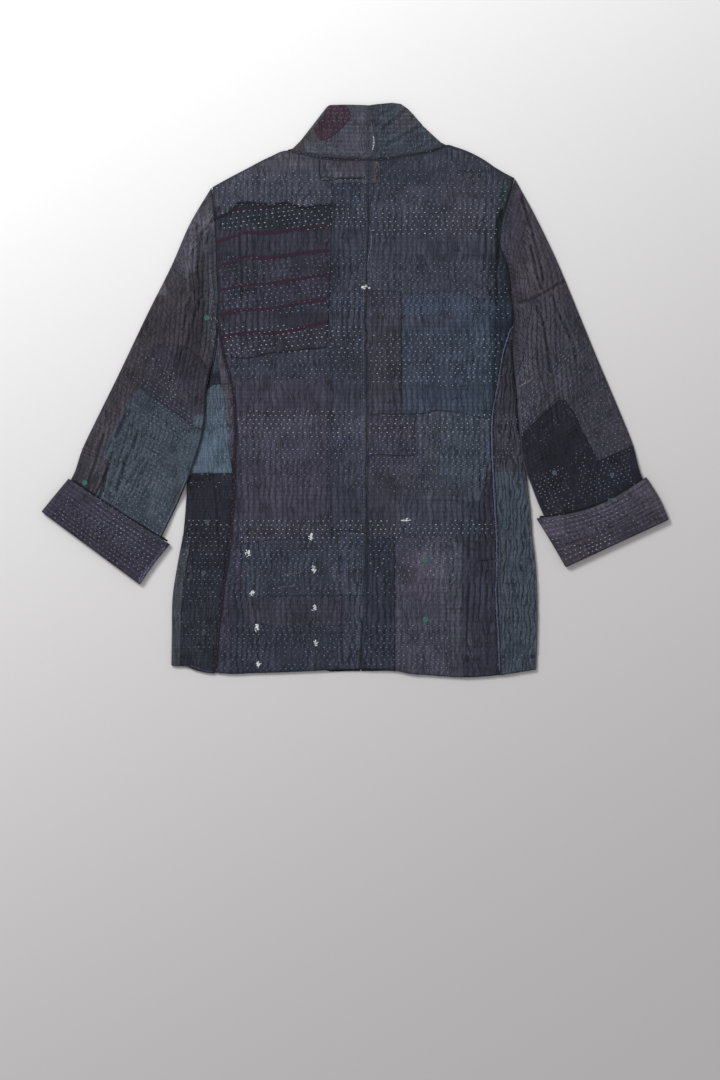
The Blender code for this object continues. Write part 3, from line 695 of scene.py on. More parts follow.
# %% [markdown]
# ## A piece of cloth
#
# A panel or patch is cut from flat cloth, so it is a grid of points with the same number in each
# row. Its edge is turned down by the thickness of the layers, which gives it a real raw or
# folded edge. The flat size of its cut is measured on the grid before the puffs are added, since
# quilting doesn't stretch the cloth. Beside its place, each point knows its millimetres on the
# cloth, how high it stands in the puffs less any painted shade, and its second dye.

# %% A piece from a grid
FIELDS = {  # what a finish can read at a point
    "cloth": ("FLOAT_VECTOR", "vector"), "relief": ("FLOAT", "value"),
    "dye": ("FLOAT_COLOR", "color"),
}


def new_piece(name, points, faces, finish, **values):
    """A piece of the jacket, from points in millimetres, with values for its finish."""
    mesh = bpy.data.meshes.new(name)
    mesh.from_pydata(in_frame(points).tolist(), [], [list(face) for face in faces])
    for field, numbers in values.items():
        kind, part = FIELDS[field]
        made = mesh.attributes.new(field, kind, "POINT")
        made.data.foreach_set(part, np.asarray(numbers, float).ravel())
    mesh.materials.append(FINISH[finish])
    mesh.shade_smooth()
    piece = bpy.data.objects.new(name, mesh)
    bpy.context.scene.collection.objects.link(piece)
    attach(piece, "root")
    return piece


def grid_faces(rows, columns, closed):
    """The four-cornered faces of a grid; closed rows are rings."""
    i, j = np.meshgrid(np.arange(rows - 1), np.arange(columns if closed else columns - 1))
    i, j = i.ravel(), j.ravel()
    k = (j + 1) % columns
    return np.stack([i, j, i, k, i + 1, k, i + 1, j], axis=1).reshape(-1, 4, 2) @ (columns, 1)


def steps(points, axis):
    """The lengths of a grid's lines one way."""
    return np.linalg.norm(np.diff(points, axis=axis), axis=2).sum(axis=axis)


def run_across(points):
    """How far each point lies from the first of its row, along the cloth."""
    apart = np.linalg.norm(np.diff(points, axis=1, prepend=points[:, :1]), axis=2)
    return np.cumsum(apart, axis=1)


print("a grid of 3 by 4 points has", len(grid_faces(3, 4, False)), "faces")

# %% The cut and the edge of a piece of cloth
sheets = {}  # each cloth piece, with the width, length and area of its cut
cloth_pieces = {}  # the points and faces of what thread can lie on


def cut_of(points, closed):
    """The widest and longest of a smooth grid, and its area, in metres."""
    if closed:
        points = np.concatenate([points, points[:, :1]], axis=1)
    one = points[1:, 1:] - points[:-1, :-1]
    other = points[1:, :-1] - points[:-1, 1:]
    area = np.linalg.norm(np.cross(one, other), axis=2).sum() / 2
    return steps(points, 1).max() * MM, steps(points, 0).max() * MM, area * MM * MM


def edged(grid):
    """The grid with one more line of points round its edge, in the same place."""
    return np.pad(grid, ((1, 1), (1, 1), (0, 0)), mode="edge")


def turned_down(points, thick):
    """The grid with one more line of points round its edge, turned down and a little out."""
    padded = edged(points)
    for axis in (0, 1):
        lines = padded.swapaxes(0, axis)
        for last, inner, before in ((0, 1, 2), (-1, -2, -3)):
            out = lines[inner] - lines[before]
            out[:, 2] = 0
            out /= np.maximum(np.linalg.norm(out, axis=1, keepdims=True), 0.001)
            lines[last] += 0.3 * thick * out
            lines[last, axis : -axis or None, 2] -= thick
    return padded


def cloth_piece(
    node, finish, points, height, across, along, thick=1.4, closed=False, up=True, dark=0.0
):
    """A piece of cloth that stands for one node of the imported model; a closed one is a tube."""
    # dark is painted shade: it lowers only the relief that the finish darkens, not the cloth.
    fields = np.dstack(
        [across, along, 0 * across, height - dark, dyed(node, points[..., 0], points[..., 1])]
    )
    raised = points.copy()
    raised[..., 2] += height
    if not closed:
        raised, fields = turned_down(raised, thick), edged(fields)
        # The first and last rows of the turned edge get a lower relief, which the finish paints
        # darker as shade.
        fields[[0, -1], :, 3] -= 0.3
    raised[..., 2] = np.maximum(raised[..., 2], 0)  # nothing goes into the floor
    rows, columns = raised.shape[:2]
    faces = grid_faces(rows, columns, closed)
    test = columns // 4 if closed else 1
    corner = raised[rows // 2, test]
    beside, above = raised[rows // 2, test + 1] - corner, raised[rows // 2 + 1, test] - corner
    if (np.cross(beside, above)[2] > 0) != up:
        faces = faces[:, ::-1]
    flat_points, values = raised.reshape(-1, 3), fields.reshape(-1, 8)
    piece = new_piece(
        f"{node}_cloth", flat_points, faces, finish,
        cloth=values[:, :3], relief=values[:, 3], dye=values[:, 4:],
    )
    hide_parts(node)
    sheets[node] = (piece, cut_of(points, closed))
    cloth_pieces[node] = (flat_points, faces)
    print(node, len(faces), "faces, cut", np.round(sheets[node][1], 3))


square = np.dstack([*np.meshgrid((0.0, 100.0), (0.0, 100.0)), np.zeros((2, 2))])
print("the cut of a flat square of 100 mm, in metres:", cut_of(square, False))


# %% The plan of a panel
def panel_points(left, right, low, high, spacing, guess=(-390, 300)):
    """The plan of a body panel: between two edges, from one line across up to another."""
    middle = sum(guess) / 2
    shares = even(int(float(right(middle) - left(middle)) / spacing[0]) + 1)

    def across(level):
        return left(level) * (1 - shares) + right(level) * shares

    ends = []
    for border, start in ((low, guess[0]), (high, guess[1])):
        reach = np.full(len(shares), float(start))
        for _ in range(8):
            reach = border(across(reach))
        ends.append(reach)
    rows = int(np.max(ends[1] - ends[0]) / spacing[1]) + 1
    t = even(rows)[:, None]
    level = ends[0] * (1 - t) + ends[1] * t
    return across(level), level


print("columns for 165 mm at 1.65 mm:", len(even(int(165 / 1.65) + 1)))

# %% [markdown]
# ## The back
#
# The back is two panels with a seam down the middle. Each lies on the front below it, so its
# height is that of two layers, with the swells and the quilting. Close to a seam the cloth is
# pulled down by the sewing, which makes a shallow valley.

# %% The back panels
FINE = (1.65, 1.9)  # millimetres between a grid's points, across and along
SEAM_DIP = 0.75
SEAM_REACH = 2.6


def valley(distance):
    """How far a seam pulls the cloth down, this far from it."""
    return SEAM_DIP * np.exp(-((distance / SEAM_REACH) ** 2))


def body_relief(x, y):
    """The relief of what lies on the back, with the valleys of its seams."""
    height = relief(x, y) - valley(shoulder_line(x) - y) - 0.2 * valley(x - edge("centre")(y))
    return height - valley(x - edge("seam_left")(y)) - valley(x - edge("seam_right")(y))


for node, finish, left, right in (
    ("back_left", "slate", edge("seam_left", GAP / 2), edge("centre", -GAP / 2)),
    ("back_right", "mauve", edge("centre", GAP / 2), edge("seam_right", -GAP / 2)),
):
    x, y = panel_points(left, right, hem_line, shoulder_line, FINE)
    top = FLAT + hills(SWELLS, x, y)
    cloth_piece(node, finish, np.dstack([x, y, top]), body_relief(x, y), x, y)

# %% [markdown]
# ## The fronts
#
# The fronts lie below, face down on the floor, and only their edges show. They are made of the
# same quilted cloth. Their outer face is the one below, and a slight quilting shows there too.

# %% The front panels
COARSE = (3.6, 3.2)
NECK_IN = 0.6  # how far the fronts' top edge stays inside the back's


def front_neck(across):
    """The top edge of the fronts, in straight runs, so that it stays under the back's."""
    return np.interp(across, FRONT_NECK["across"], FRONT_NECK["height"]) - NECK_IN


def front_hem(across):
    """The hem of the fronts, which peeks out a little at the middle."""
    return hem_line(across) - 2.6 * ease(np.abs(across - 11), 54, 44)


for node, left, right in (
    ("front_left", edge("under_left", GAP / 2), edge("front", -1.2)),
    ("front_right", edge("front", 1.2), edge("under_right", -GAP / 2)),
):
    x, y = panel_points(left, right, front_hem, front_neck, COARSE)
    below = np.dstack([x, y, FLOOR_GAP + 0 * x])
    cloth_piece(node, "slate", below, quilting(x, y, 0.14, seed=31), x, y, -1.2, up=False)

# %% [markdown]
# ## The side panels
#
# A side panel begins at the seam beside the back, turns round the folded side of the body, and
# ends on the underside. One function gives any point of it, so that the patches on it can follow
# the same turn a little further out.

# %% The side panels
SIDE_TOP = 90
SIDE_WIDE = 60.0  # about how wide a side panel is on top
TURN = FLAT / 2  # how far the folded side rounds out
SIDE_FINER = 1.35  # the ridges of the side panels lie closer together
SIGN = {"left": -1, "right": 1}


def side_surface(hand, turn, level, lift=0.0):
    """Points of a side panel. Turn is 0 at the seam, 1 to 2 round the fold, 3 underneath."""
    sign = SIGN[hand]
    seam = edge(f"seam_{hand}", sign * GAP / 2)(level)
    reach = np.minimum(TURN, 0.6 * np.abs(edge(f"edge_{hand}")(level) - seam))
    folded = edge(f"edge_{hand}")(level) - sign * reach
    under = edge(f"under_{hand}", sign * GAP / 2)(level)
    x = np.where(turn < 1, seam + (folded - seam) * turn, folded)
    x = np.where(turn > 2, folded + (under - folded) * (turn - 2), x)
    ripples = RIPPLE + hills(RIPPLES, x, level)
    puffs = quilting(SIDE_FINER * x, SIDE_FINER * level, ripples, 0.3, 31, 1.2, 0.45)
    height = puffs - creased(x, level) - valley(np.abs(x - seam))
    top = FLAT + hills(SWELLS, x, level) + lift
    low = FLOOR_GAP - 0.5 * lift
    round_it = np.pi * (np.clip(turn, 1, 2) - 1)
    out = (reach + lift) * np.sin(round_it)
    share = (1 + np.cos(round_it)) / 2
    points = np.dstack([x + sign * out, level + 0 * x, low + (top - low) * share])
    return points, height * share


def side_columns(first, last):
    """Where the columns of a side panel are, in turns."""
    top = even(int(SIDE_WIDE * SIDE_FINER / FINE[0]))
    turns = np.concatenate([top, 1 + even(9)[1:-1], 2 + even(12)])
    return np.array([first, *turns[(turns > first) & (turns < last)], last])


def side_patch(
    node, finish, hand, low, high, first=(0, 0), last=(3, 3), lift=0.0, thick=1.4, corner=0.0
):
    """A side panel or a patch on it, between two heights and the turns at its low and top end."""
    turns = side_columns(first[0], last[0])
    shares = (turns - first[0]) / (last[0] - first[0])
    across = side_surface(hand, turns[None, :], np.full((1, len(turns)), -250.0))[0][0, :, 0]
    bottom = hem_line(across) if low is None else low + 0.9 * noise(across, 0 * across, 9, 9, 5)
    top = high + (0.9 * noise(across, 0 * across, 9, 9, 6) if lift else 0 * across)
    top = top - corner * ease(np.abs(2 * shares - 1), 0.4, 1)
    t = even(int((high - bottom.min()) / FINE[1]))[:, None]
    level = bottom * (1 - t) + top * t
    begin, end = (at[0] * (1 - t) + at[1] * t for at in (first, last))
    points, height = side_surface(hand, begin + (end - begin) * shares, level, lift)
    cloth_piece(node, finish, points, height, run_across(points), level, thick)


side_patch("side_left", "night", "left", None, SIDE_TOP)
side_patch("side_right", "plum", "right", None, SIDE_TOP)

# %% [markdown]
# ## The sleeves
#
# A sleeve is a tube of cloth laid flat, so it has an upper and a lower layer with a fold on each
# side. Under the arm it lies on the side of the body, and further out on the floor. A point of it
# is given by its share of the way across, from the outer fold to the inner one, and by how far
# along it lies in the table of sections. The stitched rows run across it, so the puffs make long
# ridges down the arm.

# %% Sections of a tube
SLEEVE_ENDS = ("outer_x", "outer_y", "inner_x", "inner_y")


def section(rows, along):
    """The two folds of a section, as four numbers at each place along."""
    return [smooth(along, rows["along"], rows[name]) for name in SLEEVE_ENDS]


def run_of(points):
    """How far along a line each of its points lies, for points in columns."""
    return np.concatenate([[0], np.cumsum(np.hypot(*np.diff(points, axis=1)))])


def run_along(rows, share, along):
    """Millimetres down a tube from its first section, at a share of the way across."""
    at = np.array([rows[name] for name in SLEEVE_ENDS])
    outer, inner = (smooth(along, rows["along"], run_of(fold)) for fold in (at[:2], at[2:]))
    return outer * (1 - share) + inner * share


def wide_at(rows, along):
    """The distance between the two folds."""
    outer_x, outer_y, inner_x, inner_y = section(rows, along)
    return np.hypot(inner_x - outer_x, inner_y - outer_y)


def rounded(share, wide, reach):
    """1 in the middle of a flat tube, falling to 0 round its folds."""
    inside = np.clip(np.minimum(share, 1 - share) * wide / reach, 0, 1)
    return np.sqrt(1 - (1 - inside) ** 2)


print("the left sleeve is", round(float(wide_at(SLEEVES["left"], 3))), "mm wide at its third row")

# %% The surface of a sleeve
FOLD_REACH = 3.6  # how far in from its folds a sleeve is rounded
TIP_GAP = 1.6  # between the sleeve's tip and the shoulder


def lifted(x, y):
    """How high a sleeve lies: on the side of the body under the arm, and on the floor past it."""
    body = np.where(x < 0, edge("edge_left")(y), edge("edge_right")(y))
    past = np.where(x < 0, -1.0, 1.0) * (x - body)
    share = ease(y, 60, 12) * ease(y, -168, -132) * ease(past, 55, 14)
    return (BODY_LIFT + hills(SWELLS, x, y)) * share


def fold_line(hand):
    """The armhole seam and below it the inner fold, as levels and where they are there."""
    inner_x, inner_y = section(SLEEVES[hand], np.linspace(SLEEVE_END, 0.4, 30))[2:]
    above = np.arange(inner_y[-1] + 20, 280, 12)
    inner_x = np.concatenate([inner_x, edge(f"seam_{hand}")(above)])
    inner_y = np.concatenate([inner_y, above])
    levels = np.linspace(inner_y[0], 276, 15)
    return levels, np.interp(levels, inner_y, inner_x)


def sleeve_surface(hand, share, along, layer=1, lift=0.0):
    """Points of a sleeve's upper layer, or with layer -1 of its lower one, and the relief."""
    rows, sign = SLEEVES[hand], SIGN[hand]
    outer_x, outer_y, inner_x, inner_y = section(rows, along)
    start_x, start_y, end_x, end_y = section(rows, 0.0)
    chord_x = start_x * (1 - share) + end_x * share
    chord_y = start_y * (1 - share) + end_y * share
    bulge = edge(f"seam_{hand}", sign * GAP / 2)(chord_y) - chord_x
    bulge = bulge + sign * TIP_GAP * (1 - ease(share, 0, 0.12))
    keep = smooth(along, rows["along"], rows["bulge"])
    x = outer_x * (1 - share) + inner_x * share + bulge * keep
    y = outer_y * (1 - share) + inner_y * share
    across = (share - 0.5) * wide_at(rows, along)
    down = run_along(rows, 0.5, along) + 0 * share
    flat = rounded(share, wide_at(rows, along), FOLD_REACH)
    # The ridges are long and close, and run beside the armhole and the inner fold.
    from_fold = 1.2 * (x - smooth(y, *fold_line(hand)))
    ripples = 0.6 * RIPPLE + hills(RIPPLES, x, y)
    rows_show = 0.28 if hand == "left" else 0.46
    height = quilting(from_fold, down, ripples, rows_show, 21, 0.6) - creased(x, y)
    height = (height - valley(down)) * flat**2
    top = FLAT + hills(SWELLS, x, y) * ease(along, *CUFF_TAKES[::-1])
    low = lifted(x, y) + CUFF_LIFT * ease(along, *CUFF_TAKES) + 0.1
    z = low + top * (0.5 + 0.5 * layer * flat) + lift * flat
    return np.dstack([x, y, z]), height, across, down


middle = sleeve_surface("left", np.array([[0.5]]), np.array([[3.0]]))[0][0, 0]
print("the middle of the left sleeve:", middle.round(1))


# %% The sleeves
def tube_shares(rows, along, spacing, turn_steps=5):
    """Shares across a tube for each section, closer together round the folds."""
    wide = wide_at(rows, along)[:, None]
    turn = FOLD_REACH * (1 - np.cos(np.linspace(0, np.pi / 2, turn_steps + 1)))
    count = int(wide.max() / spacing)
    middle = FOLD_REACH / wide + (1 - 2 * FOLD_REACH / wide) * even(count)
    return np.hstack([turn[:-1] / wide, middle, 1 - turn[:-1][::-1] / wide])


def tube(rows, along, coarse, lay):
    """Rings of a tube's upper layer and then its lower one, as a function lays them."""
    upper = tube_shares(rows, along, FINE[0])
    lower = tube_shares(rows, along, coarse, 3)[:, 1:-1][:, ::-1]
    parts = []
    for shares, layer in ((upper, 1), (lower, -1)):
        full = np.broadcast_to(along[:, None], shares.shape)
        points, height, across, down = lay(shares, full, layer)
        parts.append((points, height if layer == 1 else 0 * height, layer * across, down))
    return (np.concatenate(part, axis=1) for part in zip(*parts))


def sleeve(hand, finish):
    """A whole sleeve, in rings that are evenly spaced down its middle."""
    rows = SLEEVES[hand]
    fine = np.linspace(0, SLEEVE_END, 400)
    run = run_along(rows, 0.5, fine)
    along = np.interp(np.arange(0, run[-1], FINE[1]), run, fine)
    rings = tube(rows, along, 5.0, lambda *at: sleeve_surface(hand, *at))
    cloth_piece(f"sleeve_{hand}", finish, *rings, closed=True)


sleeve("left", "earth")
sleeve("right", "mauve")

# %% [markdown]
# ## The cuffs
#
# The end of each sleeve is turned back once, so a cuff is a wider tube round the sleeve, with its
# raw top edge on the outside and a rolled rim at the wrist. It is the lining's side that shows,
# and its stitched rows are closer and run round the wrist.

# %% The cuffs
RIM = 1.7  # the radius of the rolled rim
CUFF_REACH = 4.6
CUFF_LONG = 58.0
INSIDE = 24.0  # how far the rim's cloth goes back into the sleeve


def cuff_surface(hand, share, along, layer=1, past=0.0, closer=0.0):
    """Points of a cuff. Past is how far beyond the section, and closer how far inside it."""
    rows = CUFFS[hand]
    outer_x, outer_y, inner_x, inner_y = section(rows, along)
    wide = wide_at(rows, along)
    across_x, across_y = (inner_x - outer_x) / wide, (inner_y - outer_y) / wide
    sag = smooth(along, rows["along"], rows["bulge"]) * np.sin(np.pi * share) + past
    inside = share * (wide - 2 * closer) + closer
    x = outer_x + across_x * inside - SIGN[hand] * across_y * sag
    y = outer_y + across_y * inside + SIGN[hand] * across_x * sag
    across, down = (share - 0.5) * wide, along * CUFF_LONG
    flat = rounded(share, wide, CUFF_REACH)
    swing = 1.1 * noise(across, down, 60, 30, 41)
    height = 1.8 * quilting(across, down, RIPPLE + 0 * x, 0.55, 43) + 0.25 * swing
    height = height * flat**2 * ease(closer, 2.5, 0.5)
    z = closer + (CUFF_FLAT + 0.3 - 2 * closer) * (0.5 + 0.5 * layer * flat)
    return np.dstack([x, y, z]), height, across, down


def cuff(hand, finish):
    """A cuff from its top edge, down to the rim, round it and back inside."""
    steps_down = even(int(CUFF_LONG / FINE[1]))
    rings = [(0.0, 0.0, 1.5)] + [(s, 0.0, 0.0) for s in steps_down]
    for turn in np.linspace(0, np.pi, 9)[1:]:
        rings.append((1.0, RIM * np.sin(turn), RIM * (1 - np.cos(turn))))
    rings += [(1 - back / CUFF_LONG, 0.0, 2 * RIM) for back in np.linspace(4, INSIDE, 5)]
    along, *out_and_in = np.array(rings).T
    out_and_in = [part[:, None] for part in out_and_in]
    points, height, across, down = tube(
        CUFFS[hand], along, 4.0, lambda *at: cuff_surface(hand, *at, *out_and_in)
    )
    # The cloth of a cuff was cut across, so its long threads run round the wrist.
    cloth_piece(f"cuff_{hand}", finish, points, height, down, across, closed=True)


cuff("left", "plum")
cuff("right", "lilac")

# %% [markdown]
# ## The collar
#
# The collar is a standing band that lies flat here: its back half on the back, folded round at
# the sides of the neck, with its front half below. Each half is a smooth surface between four
# edges. Such a surface is the sum of two ruled ones, less what they share.

# %% Surfaces between four edges
def walk(points, shares):
    """Points along a line through these points, at shares of its length."""
    columns = np.array(points, float).T
    run = run_of(columns)
    return np.stack([np.interp(shares * run[-1], run, column) for column in columns], axis=-1)


def between_four(low, top, left, right, across, up):
    """Points of the surface between four lines; left and right run upward."""
    u, v = across[None, :, None], up[:, None, None]
    bottom, over = walk(low, across)[None], walk(top, across)[None]
    start, end = walk(left, up)[:, None], walk(right, up)[:, None]
    corners = (1 - v) * ((1 - u) * bottom[:, :1] + u * bottom[:, -1:])
    corners = corners + v * ((1 - u) * over[:, :1] + u * over[:, -1:])
    return (1 - v) * bottom + v * over + (1 - u) * start + u * end - corners


print("halfway along a line:", walk(((0, 0), (4, 3)), np.array([0.5]))[0])

# %% The collar
COLLAR_REACH = 3.2
COLLAR_WIDE = 88.0  # about how wide each half of the collar is
COLLAR_ROWS = 46
NECK_FRONT = {"left": (-94, 6.4), "right": (126, 9.6)}  # where the front's neck edge runs


def collar_height(x, y, flat):
    """How high the collar lies, from -1 for its front layer to 1 for its back one."""
    return FLOOR_GAP + (FLAT + hills(SWELLS, x, y) - FLOOR_GAP) / 2 * (1 + flat)


def collar_surface(hand, share, up):
    """Points of the collar's back layer: share runs from its seam to its fold."""
    sides = COLLARS[hand]
    plan = between_four(sides["low"], sides["top"], COLLAR_SEAM, sides["fold"], share, up)
    x, y = plan[..., 0], plan[..., 1]
    wide = steps(np.dstack([x, y]), 1)[:, None]
    flat = rounded(np.where(share > 0.5, share, 0.5), wide, COLLAR_REACH)
    puffs = quilting(x, y, 0.24 + 0 * x, 0.4, 51) - creased(x, y)
    height = puffs * flat**2 - valley(x - edge("centre")(y))
    height = height - 0.8 * valley(y - shoulder_line(x)) * flat
    return np.dstack([x, y, collar_height(x, y, flat)]), height


def collar(hand, finish):
    """Half the collar: its back layer, its fold and its front layer."""
    sides = COLLARS[hand]
    up = even(COLLAR_ROWS)
    turn = COLLAR_REACH * (1 - np.cos(np.linspace(0, np.pi / 2, 6))) / COLLAR_WIDE
    flat_part = np.linspace(0, 1 - COLLAR_REACH / COLLAR_WIDE, COLLAR_ROWS)[:-1]
    points, height = collar_surface(hand, np.concatenate([flat_part, 1 - turn[::-1]]), up)
    across = np.linspace(*NECK_FRONT[hand], 12)
    neck = np.column_stack([across, front_neck(across) + 0.9])
    neck[0] = sides["low"][-1]
    end = np.array([neck[-1], sides["under_top"][-1]])
    away = np.concatenate([turn, np.linspace(2 * COLLAR_REACH / COLLAR_WIDE, 1, 14)])[1:]
    under = between_four(neck, sides["under_top"], sides["fold"], end, away, up)
    x, y = under[..., 0], under[..., 1]
    flat = rounded(np.minimum(away, 0.5), COLLAR_WIDE, COLLAR_REACH)
    points = np.concatenate([points, np.dstack([x, y, collar_height(x, y, -flat)])], axis=1)
    height = np.concatenate([height, 0 * x], axis=1)
    run = run_across(points)
    cloth_piece(f"collar_{hand}", finish, points, height, run, points[..., 1], 1.0)


collar("left", "slate")
collar("right", "teal")

# %% [markdown]
# ## The patches
#
# Each patch is a single layer of another old cloth. It was cut by eye, so its sides stray by a
# millimetre or so, its edge is turned under, which makes a low ridge, and it follows the puffs of
# the panel below it. On the back and the sleeves, the finish just inside a patch's edge is
# darkened with painted shade. A side that is caught in a seam follows that seam.

# %% The sides and the edge of a patch
LIFT = 0.5  # of a patch above its panel, with the air between


def seam(column, low, high, shift=0.0):
    """Points up one of the body's edges."""
    levels = np.linspace(low, high, 24)
    return np.column_stack([edge(column, shift)(levels), levels])


def hem(left, right):
    """Points along the hem."""
    across = np.linspace(left, right, 24)
    return np.column_stack([across, hem_line(across) - 0.2])


def hemmed(inside):
    """The low ridge of a turned-under edge, this far inside it."""
    return 0.28 * np.exp(-(((inside - 2.4) / 1.6) ** 2)) - 0.12 * np.exp(-((inside / 1.2) ** 2))


def painted_edge_shade(inside):
    """Painted shade just inside a patch's edge, as a depth taken off the relief that the finish
    darkens.
    """
    return 0.7 * np.exp(-((inside / 1.1) ** 2))


def patch_grid(sides, wide, long):
    """The plan of a patch between four lines, and how far inside its edge each point lies."""
    across = even(int(wide / FINE[0]) + 2)
    up = even(int(long / FINE[1]) + 2)
    plan = between_four(*sides, across, up)
    aside, above = (np.minimum(part, 1 - part) for part in (across, up))
    return plan[..., 0], plan[..., 1], np.minimum(aside * wide, above[:, None] * long)


print("a turned edge stands", round(float(hemmed(2.4)), 2), "mm high, 2.4 mm inside it")

# %% Patches on the back
LEFT, RIGHT = 0.2, -0.2  # how far a side in a seam stays from it
# Patches whose edges were sewn down so well that they hardly show, and how much they do.
BLENDED = ("patch_field", "patch_teal_low", "patch_russet_low", "patch_rose", "patch_plum_left")
BLENDED_EDGE, BLENDED_LIFT = 0.1, 0.3


def body_patch(node, finish, sides, seed, lift):
    """A patch on the back between four lines. A side that isn't in a seam strays."""
    low, top, left, right = (
        steps(walk(side, even(30))[None], 1)[0] for side in sides
    )
    x, y, inside = patch_grid(sides, max(low, top), max(left, right))
    stray = np.minimum(1, np.abs(x - edge("centre")(y)) / 12)
    for column in ("seam_left", "seam_right"):
        stray = stray * ease(np.abs(x - edge(column)(y)), 1, 12)
    x = x + 1.1 * stray * noise(x, y, 9, 9, seed)
    y = y + 1.3 * noise(x, y, 11, 11, seed + 1) * ease(y - hem_line(x), 0, 14)
    clear = stray * (BLENDED_EDGE if node in BLENDED else 1)
    lift = BLENDED_LIFT if node in BLENDED else lift
    points = np.dstack([x, y, FLAT + hills(SWELLS, x, y) + lift + clear * hemmed(inside)])
    turned = 0.05 * noise(seed, seed, 7, 7, seed)
    across, along = x + turned * y + 90 * seed, y - turned * x
    # Painted shade just inside the patch's edge, in the relief that the finish darkens.
    dark = clear * painted_edge_shade(inside)
    cloth_piece(node, finish, points, body_relief(x, y), across, along, lift + 0.2, dark=dark)


BODY_PATCHES = (
    # piece, finish, low side, top side, left side, right side
    ("patch_striped", "plum", ((-188, 46), (-155, 43), (-115, 52), (-73, 56), (-39, 59)),
     ((-196, 241), (-176, 248), (-164, 260), (-147, 262), (-127, 260), (-115, 258), (-99, 263),
     (-64, 256), (-32, 259)), seam("seam_left", 46, 241, LEFT),
     ((-39, 59), (-35, 150), (-32, 259))),
    ("patch_column_left", "teal", ((-35, -196), (14.5, -200)), ((-33, 290), (19, 290)),
     ((-35, -196), (-36, 0), (-33, 290)), seam("centre", -200, 290, RIGHT)),
    ("patch_plum_left", "plum", ((-155, -214), (-118, -210), (-73, -206), (-49, -202),
     (-37, -196)), ((-168, 13), (-37, 16)), ((-155, -214), (-160, -100), (-168, 13)),
     ((-37, -196), (-38, -90), (-37, 16))),
    ("patch_teal_low", "teal", ((-152, -290), (-60, -287), (12.5, -288)), ((-155, -216),
     (-110, -212), (-60, -204), (-30, -196), (15, -202)), ((-152, -290), (-155, -216)),
     seam("centre", -288, -202, RIGHT)),
    ("patch_russet_low", "plum", ((-151, -328), (-80, -332), (-14, -330)),
     ((-154, -291), (-60, -289), (-14, -289)), ((-151, -328), (-154, -291)),
     ((-14, -330), (-14, -289))),
    ("patch_neck_left", "mauve", ((-48, 298), (14, 297)), ((-45.5, 323), (17, 321.5)),
     ((-48, 298), (-45.5, 323)), ((14, 297), (17, 321.5))),
    ("patch_neck_right", "mauve", ((21.5, 288), (36, 289)), ((21.5, 321.5), (36, 321.5)),
     ((21.5, 288), (21.5, 321.5)), ((36, 289), (36, 321.5))),
    ("patch_armhole", "moss", ((197.5, 184), (199.5, 184)), ((208, 299), (222, 294.5)),
     ((197.5, 184), (195, 215), (198, 244), (208, 299)),
     ((199.5, 184), (203, 212), (207, 238), (212, 262), (222, 294.5))),
    ("patch_navy", "navy", ((67, -35), (84, -35), (119, -29), (144, -32), (168, -39), (187, -42)),
     ((66, 136), (144, 137), (168, 130), (192, 125), (217, 125)),
     ((67, -35), (66, 50), (66, 136)), seam("seam_right", -42, 125, RIGHT)),
    ("patch_column_right", "earth", ((17.5, -34), (66, -35)), ((17.5, 140), (65, 138)),
     seam("centre", -34, 140, LEFT), ((66, -35), (65, 138))),
    ("patch_plum_right", "plum", ((17.5, -92), (84, -92)), ((17.5, -35), (84, -37)),
     seam("centre", -92, -35, LEFT), ((84, -92), (84, -37))),
    ("patch_field", "sea", ((84.5, -154), (178, -156)),
     ((84.5, -33), (119, -27), (144, -30), (168, -35), (190, -38)), ((84.5, -154), (84.5, -33)),
     ((178, -156), (184, -120), (190, -90), (190, -38))),
    ("patch_brown", "earth", ((172, -238), (198, -238)), ((184, -113), (193, -113)),
     ((172, -238), (174, -160), (184, -113)), seam("seam_right", -238, -113, RIGHT)),
    ("patch_rose", "plum", hem(57, 129), ((57, -206), (129, -206)), ((57, -393), (57, -206)),
     ((129, -400), (129, -206))),
    ("patch_dark_strip", "night", hem(8, 56), ((16.5, -206), (56, -206)),
     seam("centre", -391, -206, LEFT), ((56, -393), (56, -206))),
    ("patch_ripple_strip", "slate", hem(151, 201),
     ((151, -211), (172, -211), (172.5, -238.5), (198, -239)), ((151, -402), (151, -211)),
     seam("seam_right", -398, -239, RIGHT)),
)
for seed, (node, finish, *sides) in enumerate(BODY_PATCHES, 3):
    body_patch(node, finish, sides, seed, LIFT + 0.07 * (seed % 4))

# %% [markdown]
# The patches at the sides go round the folded edge with their panel. The left one at the edge is
# a strip that begins on top, near the fold, and ends on the underside.

# %% Patches on the side panels
PATCH_THICK = 0.6
for node, finish, hand, low, high, first, last, corner in (
    ("patch_sea_side", "teal", "right", None, -115, (0.02, 0.02), (3, 3), 0),
    ("patch_sky_side", "sky", "left", -116, 7, (0.04, 0.34), (0.97, 0.97), 6),
    ("patch_mauve_side", "mauve", "left", 8.5, 80, (0.03, 0.06), (0.4, 0.8), 0),
    ("patch_edge_side", "sea", "left", None, -205, (0.84, 0.84), (3, 3), 0),
):
    side_patch(node, finish, hand, low, high, first, last, LIFT, PATCH_THICK, corner)

# %% [markdown]
# A patch on a sleeve is drawn on the flat sleeve, as shares across and places along, and then
# laid on the sleeve's own surface.

